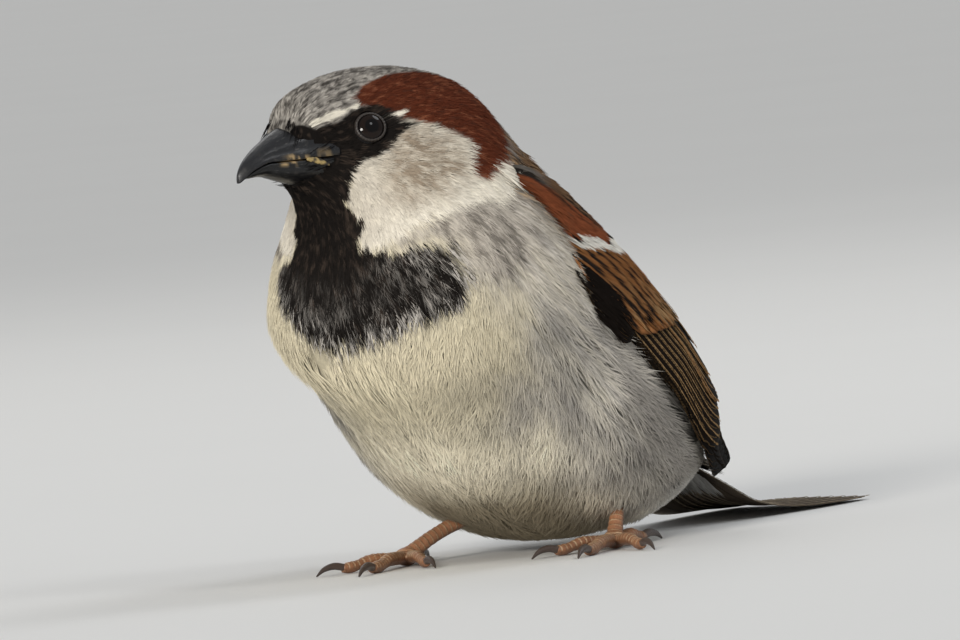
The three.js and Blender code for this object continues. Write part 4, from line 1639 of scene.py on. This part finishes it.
    def tertials(self) -> Vanes:
        """Four broad feathers nearest the back, with wide warm edges."""
        n = 4
        k = np.arange(n)
        return Vanes.of(
            n, root=(7.5, 0.66 + 0.09 * k), tip=(9.95 - 0.25 * k, 0.62 + 0.1 * k), width=8.6 - 0.3 * k,
            lift=(0.25 + 0.02 * k, 1.36 + 0.05 * k), core=self.black, rim=(self.orange + self.buff) * 0.4,
            reach=0.82, blunt=0.85, bow=-0.3,
        )

    def build(self, finish: Material, plume: Material) -> None:
        """Lays the feathers and adds them in the three parts that the frame has, with their barbs."""
        thick, camber, roll = 0.09, 0.10, 0.24
        parts = {
            "coverts": (self.greater(), self.black_patch()),
            "tertials": (self.tertials(), self.secondaries()),
            "primaries": (self.primaries(),),
        }
        for part, groups in parts.items():
            merged = Vanes(*(np.concatenate([getattr(g, f.name) for g in groups]) for f in fields(Vanes)))
            stages = 12 if part == "coverts" else 30
            name = f"wing_{self.side}_{part}"
            shell = merged.shell(self, stages, 50 + self.sign, thick, camber, roll)
            Piece.make(f"feathers_{name}", shell, finish, part, (name,))
            if part != "coverts":
                Piece.make(f"barbs_{name}", merged.fringe(self, 55, 0.38, roll), plume, part)
        Piece.make(f"coat_coverts_{self.side}", self.coverts(), plume, "coverts")


@dataclass(frozen=True)
class TailForm:
    """The tail's path down to the floor, its half-width, and its arch and notch."""

    path: Points = (
        (-38.5, 15.0), (-46, 11.0), (-54, 6.7), (-61, 3.2), (-69, 1.5), (-81, 0.8), (-93, 0.5),
    )
    half: tuple[float, ...] = (6.2, 7.2, 8.4, 9.6, 10.8, 12.2, 13.2)
    notch: float = 3.2
    arch: float = 1.6
    length: float = 56.5

    def surface(self, f: Array, side: Array, height: Array) -> Array:
        """Places over the tail: across, it falls off by the arch times the square of the share across.

        Args:
            f: Shares of the tail's length.
            side: Millimetres to the left.
            height: Millimetres above it.

        Returns:
            Places in the model's axes.
        """
        at = f * (len(self.path) - 1)
        ahead, up = (along(column, at) for column in np.array(self.path).T)
        v = np.clip(side / along(np.array(self.half), at), -1.1, 1.1)
        ahead = ahead + self.notch * (1 - np.abs(v)) * ramp(f, 0.8, 1.0)
        up = np.maximum(up - self.arch * (1 - f) * v**2 + height, 0.04)
        return np.stack(np.broadcast_arrays(side + SHIFT[0], -ahead + SHIFT[1], up), -1)

    def metric(self, f: Array, side: Array) -> tuple[Array, Array]:
        """Millimetres in the tail's length and in one of side."""
        return np.full_like(f, self.length), np.ones_like(side)


class Tail:
    """Twelve tail feathers in a shallow fan, with the coverts over their roots."""

    form = TailForm()
    dark: Array = linear(84, 74, 63)
    edge: Array = linear(150, 136, 116)

    def build(self, finish: Material, plume: Material) -> None:
        """The middle pair lies on top, and each pair outwards lies a little deeper."""
        k = np.arange(12) - 5.5
        deep = np.abs(k) / 5.5
        quills = Vanes.of(
            12, root=(0.02, k * 0.75), tip=(0.995, k * 1.86), width=6.6,
            lift=(1.0 - 0.7 * deep, 0.55 - 0.55 * deep), core=self.dark, rim=self.edge, reach=0.86,
            blunt=0.75, bow=-0.4 * np.sign(k),
        )
        thick, camber, roll = 0.12, 0.15, 0.0
        shell = quills.shell(self.form, 26, 81, thick, camber, roll)
        Piece.make("feathers_tail", shell, finish, "tail", ("tail",))
        Piece.make("barbs_tail", quills.fringe(self.form, 85, 0.5, roll), plume, "tail")
        Piece.make("coat_tail", self.coverts(), plume, "tail")

    def coverts(self) -> Shell:
        """Soft barbs over the tail's root, above and below, sparser towards their ends."""
        n = 5200
        r = chance(87, n, 4)
        above = np.arange(1, n + 1) % 3 > 0
        u, v = scatter(n)
        f = -0.06 + 0.32 * u**1.25
        span = 2 * v - 1
        side = span * (6.4 + 7.0 * np.maximum(f, 0)) * np.where(above, 1.0, 0.9)
        step = (4.5 + 2.5 * r[:, :1]) * np.array([0.0, 0.5, 1.0])
        turn = 0.3 * (r[:, 1:2] - 0.5) - 0.02 * span[:, None]
        top = 1.6 + 0.9 * r[:, 2] + 1.4 * (1 - span**2) * (1 - ramp(f, 0.0, 0.2))
        height = np.stack([0.9 + 0 * top, blend(0.9, top, 0.8), top], 1) * np.where(above, 1.0, -0.8)[:, None]
        at_f = f[:, None] + step * np.cos(turn) / self.form.length
        at_side = side[:, None] + step * np.sin(turn)
        centre = self.form.surface(np.maximum(at_f, 0.0), at_side, height)
        centre[..., 1] += np.minimum(at_f, 0.0) * self.form.length
        out = np.stack([0 * f, 0.35 + 0 * f, np.where(above, 0.94, -0.94)], 1)
        # Painted shade: the barbs under the tail take the vent's colour at 0.45 of its brightness.
        tone = np.where(above[:, None], Hue.RUMP.rgb, 0.45 * Hue.VENT.rgb) * (0.75 + 0.4 * r[:, 3:4])
        place = np.stack([0.5 + 0.23 * span + np.where(above, -0.25, 0.25), f * 2.8 + 0.2], 1)
        return blades(centre, out, np.array([0.14, 0.2]), tone, place)


# ---- head's bare parts


class Eye:
    """An eyeball, with a dark iris round a black pupil, and the beaded lid that hugs it."""

    iris: Array = linear(24, 15, 10)
    pupil: Array = linear(6, 5, 5)
    lid: Array = linear(47, 40, 35)
    open: float = 1.86  # radius of the eye between the lids
    rim: float = 2.26  # the lids' outer radius
    beads: int = 30

    def __init__(self, sign: int) -> None:
        """The left eye for 1 and the right for -1."""
        self.sign = sign
        self.side = "left" if sign > 0 else "right"

    def ball(self) -> Shell:
        """A sphere with its poles on the eye's axis, so that rings run round the pupil."""
        polar = np.concatenate([np.linspace(0.03, 0.9, 40), np.linspace(0.93, math.pi - 0.05, 30)])[:, None]
        turn = circle(64)[None]
        r = EYES.radius - 0.02
        flat = r * np.sin(polar)
        rings = EYES.round(self.sign, r * np.cos(polar), flat * np.cos(turn), flat * np.sin(turn))
        front, back = (EYES.round(self.sign, pole, 0, 0)[None] for pole in (r, -r))
        near = with_ends(flat + 0 * turn, 0.0, 0.0)
        iris = over(self.pupil, self.iris, ramp(near, 0.95, 1.1))
        return bundle(rings[None], back, front).tinted(over(iris, self.pupil, ramp(near, 1.6, 1.85)))

    def lids(self) -> Shell:
        """A ring on the ball: out along it, up over a beaded lip and down into the skin.

        The opening is a little longer than high, and the beads ride on the lip.
        """
        around, section = 180, 16
        turn = circle(around)[:, None]
        a = np.linspace(0, 2 * np.pi, section + 1)[None, :-1]
        beads = 0.5 + 0.5 * np.cos(self.beads * turn)
        swell = 1 + 0.16 * beads * ramp(np.sin(a), -0.2, 0.8)
        mid, wide = (self.open + self.rim) / 2, (self.rim - self.open) / 2
        radius = mid + wide * np.cos(a) * swell
        height = np.sqrt(EYES.radius**2 - mid**2) - 0.02 + 0.27 * np.sin(a) * swell - 0.45 * (radius - mid)
        rings = EYES.round(self.sign, height, 1.05 * radius * np.cos(turn), 0.97 * radius * np.sin(turn))
        number = np.arange(around * section).reshape(around, section)
        corners = [np.roll(number, way, (0, 1)) for way in ((0, 0), (-1, 0), (-1, -1), (0, -1))]
        quads = np.stack(corners, -1).reshape(-1, 4)
        shell = Shell(rings.reshape(-1, 3), quads, np.zeros((0, 3), int)).outward()
        return shell.tinted(self.lid * ((0.75 + 0.35 * beads) + 0 * a).reshape(-1, 1))

    def build(self, wet: Material, bare: Material) -> None:
        """Adds the ball and the lids."""
        Piece.make(f"eyeball_{self.side}", self.ball(), wet, "eye", (f"eye_{self.side}",))
        Piece.make(f"eyelid_{self.side}", self.lids(), bare, "crown")


class Bill:
    """The two mandibles, with a ridge, sharp cutting edges and a small hook, and the gape's skin."""

    slate: Array = linear(24, 24, 26)
    pale: Array = linear(176, 150, 108)
    fold_dark: Array = linear(40, 34, 29)
    fold_pale: Array = linear(190, 164, 104)
    hair: Array = linear(22, 20, 20)
    stages: int = 70
    arc: int = 30

    def mandible(self, upper: bool) -> Shell:
        """Half-oval sections from the tip into the face, closed along the seam by a flat side.

        Both are drawn in a little beside the cutting edge and have a faint ridge along the middle.

        Args:
            upper: Which of the two.

        Returns:
            The mandible, painted.
        """
        first = BILL.first(upper) + 0.05
        back = first + (BILL.length - first) * np.linspace(0, 1, self.stages)[:, None] ** 1.35
        half, edge, height = BILL.section(back, upper)
        sign = 1 if upper else -1
        a = np.linspace(0, np.pi, self.arc)[None]
        pinch = 1 - 0.055 * np.exp(-(((np.sin(a) - 0.30) / 0.12) ** 2)) * ramp(back, 1.0, 4.0)
        ridge = 1 + 0.035 * np.exp(-(((a - np.pi / 2) / 0.16) ** 2)) * ramp(back, 0.5, 3.0)
        flat = np.linspace(-1, 1, 9)[None, 1:-1] * half
        sides = np.concatenate([half * np.cos(a) * pinch, flat], 1)
        rise = height * np.sin(a) ** 0.9 * pinch * ridge
        ups = np.concatenate([edge + sign * rise, edge + 0 * flat - sign * 0.1], 1)
        whole = back + 0 * sides
        grain = cloud(np.stack([whole.ravel(), sides.ravel() * 3, ups.ravel() * 3], 1), 1.1, 5)
        ups = ups + 0.03 * grain.reshape(ups.shape) * ramp(back, 1.0, 3.0)
        points = BODY.turned(sides, BILL.tip_ahead - back, ups, 0 * sides)
        tip_up = edge[0, 0] + sign * 0.1 - (0.12 if upper else 0.0)
        tip = BODY.turned(0.0, BILL.tip_ahead - first + 0.12, tip_up, 0.0)
        shell = bundle(points[None], points[-1].mean(0)[None], tip[None])
        backs = with_ends(whole, BILL.length, 0.0)
        low = with_ends(np.abs(ups - edge) / np.maximum(height, 0.3), 0.5, 0.5)
        # The lower mandible is painted at about a third of the upper's tone, as painted shade under the bill;
        # both grow lighter away from the seam.
        tone = self.slate * ((0.86 if upper else 0.3) + 0.3 * ramp(low, 0.5, 1.0))[:, None]
        blotch = cloud(shell.points, 0.9, 6) + 0.5 * cloud(shell.points, 0.4, 7)
        if upper:  # worn, paler cutting edge half-way along and at the gape
            worn = window(backs, 6.8, 9.4, 0.8) * (1 - ramp(low, 0.08, 0.22)) * ramp(blotch, 0.0, 0.4)
            corner = window(backs, 11.5, 13.0, 0.6) * (1 - ramp(low, 0.05, 0.22)) * ramp(blotch, -0.1, 0.3)
            worn = np.maximum(worn, 0.5 * corner)
        else:
            worn = window(backs, 6.5, 10.0, 1.0) * (1 - ramp(low, 0.08, 0.3)) * ramp(blotch, 0.1, 0.5)
        worn = worn * ramp(np.abs(with_ends(sides / half, 0.0, 0.0)), 0.5, 0.8)
        around = with_ends(np.linspace(0, 1, sides.shape[1]) + 0 * sides, 0.5, 0.5)
        shell.maps["Grain"] = np.stack([backs / 3.0, around], 1)
        return shell.tinted(over(tone, self.pale, 0.85 * worn))

    def gape(self, sign: int) -> Shell:
        """A soft yellowish fold where the mandibles meet in the corner of the mouth.

        Args:
            sign: 1 for the left corner and -1 for the right.

        Returns:
            The fold, painted.
        """
        f = np.linspace(0, 1, 24)[:, None]
        back = 9.4 + 3.4 * f
        half, edge, _ = BILL.section(back, True)
        turn = circle(12)[None]
        swell = 0.44 * np.sin(np.pi * np.clip(f * 0.9 + 0.06, 0, 1)) ** 0.6
        ripple = 1 + 0.12 * np.sin(f * 40 + turn * 3)
        side = sign * (half * 0.995 + swell * 0.6 * np.cos(turn) * ripple)
        ups = edge - 0.15 - 1.1 * f**1.5 + swell * np.sin(turn) * ripple
        shell = tube(BODY.turned(side, BILL.tip_ahead - back, ups, 0 * side))
        patch = np.clip(0.15 + 1.1 * cloud(shell.points, 0.5, 9), 0, 0.9)
        return shell.tinted(over(self.fold_dark, self.fold_pale, patch))

    def bristles(self) -> Shell:
        """Fine black hairs that point forward over the nostrils, the gape and the chin."""
        n = 150
        r = chance(91, n, 5)
        group = np.arange(n) % 5  # nostril left and right, gape left and right, chin
        where = [group < 2, group < 4]
        sign = np.where(group == 4, np.sign(r[:, 4] - 0.5), np.where(group % 2 == 0, 1.0, -1.0))
        degrees = np.select(where, [22 + 45 * r[:, 0], 84 + 34 * r[:, 0]], 132 + 48 * r[:, 0])
        t = np.select(where, [0.05 + 0.35 * r[:, 1], 0.5 + 1.3 * r[:, 1]], 0.1 + 0.9 * r[:, 1])
        angle = sign * np.radians(degrees)
        back, round_, out, _, _ = BODY.axes(t, angle)
        root = BODY.at(t, angle, -0.25)
        length = (1.3 + 1.1 * r[:, 2])[:, None]
        way = unit(-back * 0.95 + out * (0.30 + 0.25 * r[:, 3:4]) + round_ * sign[:, None] * 0.35)
        across = unit(np.cross(way, out))
        other = unit(np.cross(across, way))
        three = circle(3)[:, None]
        star = across[:, None] * np.cos(three) + other[:, None] * np.sin(three)
        base, middle, tip = (root + way * length * f - 0.12 * out * f**2 * length for f in (0.0, 0.5, 1.0))
        rings = np.stack([base[:, None] + 0.055 * star, middle[:, None] + 0.04 * star], 1)
        return bundle(rings, tip).tinted(self.hair)

    def build(self, horn: Material, bare: Material, plume: Material) -> None:
        """Adds the mandibles, the corners of the mouth and the bristles."""
        Piece.make("mandible_upper", self.mandible(True), horn, "bill", ("bill_upper",))
        Piece.make("mandible_lower", self.mandible(False), horn, "bill", ("bill_lower",))
        Piece.make("gape", joined([self.gape(1), self.gape(-1)]), bare, "bill")
        Piece.make("bristles", self.bristles(), plume, "crown")


# ---- legs


@dataclass(frozen=True)
class Toe:
    """One toe: its heading from straight ahead, away from the bird's middle, and its sizes."""

    name: str
    heading: float
    length: float
    claw: float
    radius: float


@dataclass(frozen=True)
class LegPlace:
    """Where a leg stands: the ball of its foot, its heel and the way that its toes point."""

    side: str
    sign: int
    hub: tuple[float, float]
    heel: tuple[float, float, float]
    heading: float


class Leg:
    """A leg's scaly skin from the belly's feathers to the toes, and four claws."""

    toes: tuple[Toe, ...] = (
        Toe("inner", -36, 9.6, 4.2, 0.86),
        Toe("middle", -1, 13.2, 5.2, 0.95),
        Toe("outer", 35, 9.8, 4.2, 0.86),
        Toe("hind", 170, 8.4, 6.2, 1.0),
    )
    places: tuple[LegPlace, ...] = (
        LegPlace("left", 1, (15.6, -9.0), (12.4, -19.5, 13.0), 16.0),
        LegPlace("right", -1, (-13.2, 1.0), (-6.5, -13.5, 7.6), 10.0),
    )
    hub_up: float = 1.35
    hub_radius: float = 2.3
    skin_tone: Array = linear(158, 110, 78)
    rim_tone: Array = linear(200, 172, 138)
    claw_tone: Array = linear(74, 62, 56)
    scute: float = 0.92
    voxel: float = 0.13

    def __init__(self, place: LegPlace) -> None:
        """Takes the leg's place."""
        self.place = place

    @staticmethod
    def point(side: float, ahead: float, up: float) -> Array:
        """A place in the model's own axes."""
        return np.array([side + SHIFT[0], -ahead + SHIFT[1], up])

    def line(self, toe: Toe, ways: Sequence[float], ups: Sequence[float]) -> Array:
        """Points out from the hub along a toe.

        Args:
            toe: The toe, whose heading they follow.
            ways: Their distances from the hub.
            ups: Their heights.

        Returns:
            (n, 3) places.
        """
        heading = math.radians(self.place.heading + self.place.sign * toe.heading)
        side, ahead = self.place.hub
        c, s = math.cos(heading), math.sin(heading)
        return np.array([self.point(side + d * s, ahead + d * c, up) for d, up in zip(ways, ups)])

    def paths(self) -> list[tuple[Array, Array]]:
        """The shank's and the toes' middle lines with their radii, as points to be splined."""
        hub, heel = self.point(*self.place.hub, self.hub_up), self.point(*self.place.heel)
        knee = hub + (heel - hub) * 0.35 + np.array([0, 0, 0.5])
        rows = [(np.array([hub, knee, heel]), np.array([1.25, 1.02, 1.06, 1.5]))]
        near = self.hub_radius + 0.8
        for toe in self.toes:
            ways = (0.4, near, near + toe.length * 0.33, near + toe.length * 0.62, toe.length + 1.4)
            line = self.line(toe, ways, (1.25, 1.35, 1.45, 0.9, 0.78))
            rows.append((line, toe.radius * np.array([1.05, 0.95, 1.0, 0.98, 0.84, 0.94, 0.7])))
        return rows

    @staticmethod
    def limb(points: Array, radii: Array, stages: int, around: int) -> tuple[Array, Array]:
        """Round sections along a splined line, flat where they meet the floor.

        Args:
            points: The line's points.
            radii: Radii, evenly along it.
            stages: How many sections.
            around: Places round each.

        Returns:
            The rings and the middle line.
        """
        f = np.linspace(0, 1, stages)
        line = np.stack([along(column, f * (len(points) - 1)) for column in points.T], 1)
        radius = along(radii, f * (len(radii) - 1))
        forward = unit(np.gradient(line, axis=0))
        right = unit(np.cross(forward, [0.0, 0.0, 1.0]))
        a = circle(around)[:, None]
        star = right[:, None] * np.cos(a) + np.cross(right, forward)[:, None] * np.sin(a)
        rings = line[:, None] + radius[:, None, None] * star
        rings[..., 2] = np.maximum(rings[..., 2], 0.0)
        return rings, line

    def skin(self) -> Shell:
        """The limbs grown together by a voxel remesh, then scaled along their lines.

        Over the front of each limb the surface rises and falls by a saw of the distance along it,
        which gives the overlapping scutes, and their rims are painted pale. Painted shade darkens the crease
        past each rim and the limbs' lower and rear sides.
        """
        shells = [tube(self.limb(*path, 40, 20)[0]) for path in self.paths()]
        lines = [self.limb(*path, 160, 4)[1] for path in self.paths()]
        polar, turn = np.linspace(0.1, math.pi - 0.1, 16)[:, None], circle(28)[None]
        flat = 1.75 * np.sin(polar)
        ball = np.stack([flat * np.cos(turn), flat * np.sin(turn), 1.35 * np.cos(polar) + 0 * turn], -1)
        ball = ball + self.point(*self.place.hub, self.hub_up)
        ball[..., 2] = np.maximum(ball[..., 2], 0.0)
        shells.append(tube(ball))
        points, normals, quads = self.grown(Piece.mesh(f"rough_{self.place.side}", joined(shells)))
        where = np.concatenate(lines)
        steps = [np.linalg.norm(np.diff(line, axis=0, prepend=line[:1]), axis=1) for line in lines]
        gone = np.concatenate([np.cumsum(step) for step in steps])
        parts = [((part[:, None] - where) ** 2).sum(-1).argmin(1) for part in np.array_split(points, 40)]
        near = np.concatenate(parts)
        ahead, up = -normals[:, 1], normals[:, 2]
        on_shank = near < len(lines[0])
        front = np.where(on_shank, ramp(ahead + 0.4 * up, -0.5, 0.3), ramp(up, -0.35, 0.3))
        wave = (gone[near] / self.scute) % 1.0
        relief = front * (0.085 * wave**1.5 - 0.02) + 0.015 * cloud(points, 0.5, 14)
        pads = (1 - front) * 0.03 * cloud(points, 0.45, 15)
        points = points + normals * (relief + pads)[:, None]
        points[:, 2] = np.maximum(points[:, 2], 0.0)
        shell = Shell(points, quads, np.zeros((0, 3), int)).outward()
        rim = front * np.maximum(ramp(wave, 0.76, 0.93), 1 - ramp(wave, 0.02, 0.10))
        rim = rim * np.clip(0.75 + 0.5 * cloud(points, 1.1, 16), 0.2, 1)
        # Painted shade: the crease just past each scute's rim is darkened by half, and the lower and rear sides
        # by about a third.
        crease_shade = front * window(wave, 0.04, 0.12, 0.05)
        skin = self.skin_tone * (0.85 + 0.22 * cloud(points, 1.6, 17))[:, None]
        tone = over(skin, self.rim_tone, 0.8 * rim)
        return shell.tinted(tone * ((1 - 0.5 * crease_shade) * (1 - 0.35 * (1 - front)))[:, None])

    def grown(self, mesh: bpy.types.Mesh) -> tuple[Array, Array, Array]:
        """A mesh remeshed as one skin of small even faces.

        Args:
            mesh: Closed shells that cross, which is removed.

        Returns:
            The skin's points and outward normals in millimetres, and its quads.
        """
        obj = placed("grown", mesh)
        remesh = obj.modifiers.new("one skin", "REMESH")
        remesh.mode, remesh.voxel_size, remesh.use_smooth_shade = "VOXEL", self.voxel * MM, True
        made = obj.evaluated_get(bpy.context.evaluated_depsgraph_get()).to_mesh()
        points, normals = np.empty((2, len(made.vertices) * 3))
        made.vertices.foreach_get("co", points)
        made.vertices.foreach_get("normal", normals)
        corners = np.empty(len(made.loops), np.int32)
        made.loops.foreach_get("vertex_index", corners)
        obj.to_mesh_clear()
        bpy.data.objects.remove(obj)
        bpy.data.meshes.remove(mesh)
        return points.reshape(-1, 3) / MM, normals.reshape(-1, 3), corners.reshape(-1, 4)

    def claw(self, toe: Toe) -> Shell:
        """A curved, tapering claw: it arches up from the toe and comes down to a point.

        Args:
            toe: The toe that bears it.

        Returns:
            The claw, painted.
        """
        stages, around = 26, 14
        start = toe.length + 1.5
        ways = (start - 0.5, start + toe.claw * 0.3, start + toe.claw * 0.72, start + toe.claw + 0.2)
        line = self.line(toe, ways, (0.92, 1.28, 0.98, 0.14))
        rings, _ = self.limb(line, toe.radius * np.array([0.62, 0.60, 0.42, 0.13]), stages, around)
        shell = tube(rings)
        f = with_ends(np.repeat(np.linspace(0, 1, stages), around), 1.0, 0.0)
        turn = with_ends(np.tile(np.arange(around) / around, stages), 0.5, 0.5)
        shell.maps["Grain"] = np.stack([f, turn * 0.5], 1)
        return shell.tinted(self.claw_tone * (1.25 - 0.6 * f)[:, None])

    def thigh(self) -> Shell:
        """Short feathers that close round the top of the shank and point down along it."""
        _, knee, heel = self.paths()[0][0]
        r = chance(120 + self.place.sign, 900, 5)
        axis = unit(knee - heel)
        side = unit(np.cross(axis, [0.0, 0.0, 1.0]))
        a = 2 * np.pi * r[:, :1]
        down = -1.2 + 3.2 * r[:, 1:2]
        out = side * np.cos(a) + np.cross(side, axis) * np.sin(a)
        root = heel + axis * down + out * ((2.5 - 0.42 * down) * 0.7)
        length = 2.8 + 1.6 * r[:, 2:3]
        way = unit(axis + out * (0.02 - 0.16 * r[:, 3:4])) * length
        centre = np.stack([root, root + way * 0.5, root + way - out * 0.2], 1)
        centre[..., 2] = np.maximum(centre[..., 2], 0.3)
        tone = Hue.FLANK.rgb * (0.8 + 0.4 * r[:, 4:5])
        place = np.concatenate([a / (2 * np.pi), (down + 1.2) / 3.2], 1) * 0.94 + 0.03
        return blades(centre, out, np.array([0.10, 0.13]), tone, place)

    def build(self, bare: Material, horn: Material, plume: Material) -> None:
        """Adds the skin, the claws and the thigh's feathers."""
        side = self.place.side
        nodes = [f"shank_{side}", *(f"toe_{side}_{toe.name}" for toe in self.toes)]
        Piece.make(f"leg_{side}", self.skin(), bare, "shank", nodes)
        for toe in self.toes:
            Piece.make(f"horn_{side}_{toe.name}", self.claw(toe), horn, "claw", (f"claw_{side}_{toe.name}",))
        Piece.make(f"coat_thigh_{side}", self.thigh(), plume, "underparts")


# ---- studio


@dataclass(frozen=True)
class Lamp:
    """A soft square light, aimed at the bird."""

    name: str
    azimuth: float
    elevation: float
    distance: float
    size: float
    power: float
    colour: Colour = (1.0, 1.0, 1.0)


class Studio:
    """A plain pale floor, soft lights and the camera."""

    floor_tone: Array = linear(229, 228, 225)
    floor_radius: float = 12000.0
    floor_down: float = 0.02  # how far the floor lies under the feet
    floor_thick: float = 20.0
    aim_offset: tuple[float, float] = (1.8, 34.3)  # millimetres right and up of the point between the feet
    azimuth: float = math.radians(31.0)
    elevation: float = math.radians(2.0)
    roll: float = math.radians(5.4)
    distance: float = 2000.0
    lens: float = 525.0
    lamps: tuple[Lamp, ...] = (
        Lamp("fill", 72.0, 42.0, 1.3, 0.3, 1.6, (0.96, 0.98, 1.0)),
        Lamp("rim", 150.0, 48.0, 1.2, 0.5, 2.4, (0.95, 0.97, 1.0)),
        Lamp("back", -130.0, 40.0, 1.3, 0.7, 1.6, (1.0, 0.98, 0.95)),
        Lamp("low", -30.0, 5.0, 1.4, 0.6, 2.5, (1.0, 0.98, 0.94)),
    )
    key_from: tuple[float, float] = (math.radians(10.0), math.radians(17.0))
    key_power: float = 2.1
    key_size: float = math.radians(14.0)
    key_colour: Colour = (1.0, 0.965, 0.91)
    sky_colour: Colour = (0.90, 0.93, 0.97)
    sky_power: float = 0.46

    @staticmethod
    def away(azimuth: float, elevation: float) -> Array:
        """The direction from the bird towards an azimuth from the front and an elevation."""
        flat = math.cos(elevation)
        return np.array([math.sin(azimuth) * flat, -math.cos(azimuth) * flat, math.sin(elevation)])

    def floor(self) -> None:
        """A thin flat disc with a faint mottle, whose rings widen as the square of their number."""
        rings, around = 24, 96
        radius = self.floor_radius * np.linspace(0.01, 1, rings)[:, None] ** 2
        turn = circle(around)[None]
        down = 0 * radius + 0 * turn - self.floor_down
        points = np.stack([radius * np.cos(turn), radius * np.sin(turn), down], -1)
        depth = np.array([0.0, 0.0, self.floor_thick])
        middle = np.array([[0.0, 0.0, -self.floor_down]])
        shell = bundle(np.concatenate([points, points[-1:] - depth])[None], middle - depth, middle)
        s = Shader("pale floor")
        colour = s.mix(s.noise(0.006, 3.0), 0.97 * self.floor_tone, self.floor_tone)
        obj = placed("floor", Piece.mesh("floor", shell))
        obj.data.materials.append(
            s.finish(s.noise(0.8, 3.0), 0.02, Base_Color=colour, Roughness=0.7, Specular_IOR_Level=0.25)
        )

    @staticmethod
    def shine(light: bpy.types.Light, away: Array, distance: float) -> None:
        """Places a light at a distance from the bird's middle and turns it that way."""
        obj = placed(light.name, light)
        obj.location = Vector((0.0, -0.01, 0.04)) + Vector(away) * distance
        obj.rotation_euler = Vector(away).to_track_quat("Z", "Y").to_euler()

    def light(self) -> None:
        """The lamps and a pale sky."""
        for lamp in self.lamps:
            data = bpy.data.lights.new(lamp.name, "AREA")
            data.shape, data.size, data.energy, data.color = "DISK", lamp.size, lamp.power, lamp.colour
            away = self.away(math.radians(lamp.azimuth), math.radians(lamp.elevation))
            self.shine(data, away, lamp.distance)
        key = bpy.data.lights.new("key", "SUN")
        key.energy, key.angle, key.color = self.key_power, self.key_size, self.key_colour
        self.shine(key, self.away(*self.key_from), 1.0)
        world = bpy.data.worlds.new("pale sky")
        world.use_nodes = True
        sky = world.node_tree.nodes["Background"]
        sky.inputs["Color"].default_value = (*self.sky_colour, 1.0)
        sky.inputs["Strength"].default_value = self.sky_power
        bpy.context.scene.world = world
        bpy.context.scene.view_settings.view_transform = "Standard"

    def camera(self) -> None:
        """A long lens a little above the floor, rolled so that the floor rises to the right."""
        back = self.away(self.azimuth, self.elevation)
        right = np.array([math.cos(self.azimuth), math.sin(self.azimuth), 0.0])
        up = np.cross(back, right)
        feet = np.array([*SHIFT, 0.0])
        place = feet + right * self.aim_offset[0] + up * self.aim_offset[1] + back * self.distance
        c, s = math.cos(self.roll), math.sin(self.roll)
        columns = np.stack([right * c - up * s, right * s + up * c, back, place * MM], 1)
        data = bpy.data.cameras.new("camera")
        data.lens, data.sensor_width, data.sensor_fit = self.lens, 36.0, "HORIZONTAL"
        data.clip_start, data.clip_end = 0.1, 40.0
        obj = placed("camera", data)
        obj.matrix_world = Matrix([*columns.tolist(), (0.0, 0.0, 0.0, 1.0)])
        bpy.context.scene.camera = obj

    def build(self) -> None:
        """Sets up the floor, the lights and the camera."""
        self.floor()
        self.light()
        self.camera()


def main() -> None:
    """Builds the bird in its studio."""
    logging.basicConfig(level=logging.INFO, format="%(name)s: %(message)s")
    plume = PlumeFinish("soft plumage").material()
    down = PlumeFinish("feathered skin", fleck=0.2, roughness=0.9).material()
    vane = VaneFinish("feather vanes").material()
    horn = HornFinish("slate horn").material()
    nail = HornFinish("claw horn", roughness=0.42, coat=0.1, scratch=0.25).material()
    bare = ScaleFinish("scaled skin").material()
    wet = EyeFinish("wet eye").material()
    Skin().build(down)
    Coat().build(plume)
    for sign in (1, -1):
        Wing(sign).build(vane, plume)
        Eye(sign).build(wet, bare)
    Tail().build(vane, plume)
    Bill().build(horn, bare, plume)
    for place in Leg.places:
        Leg(place).build(bare, nail, plume)
    Studio().build()


if __name__ == "__main__":
    main()
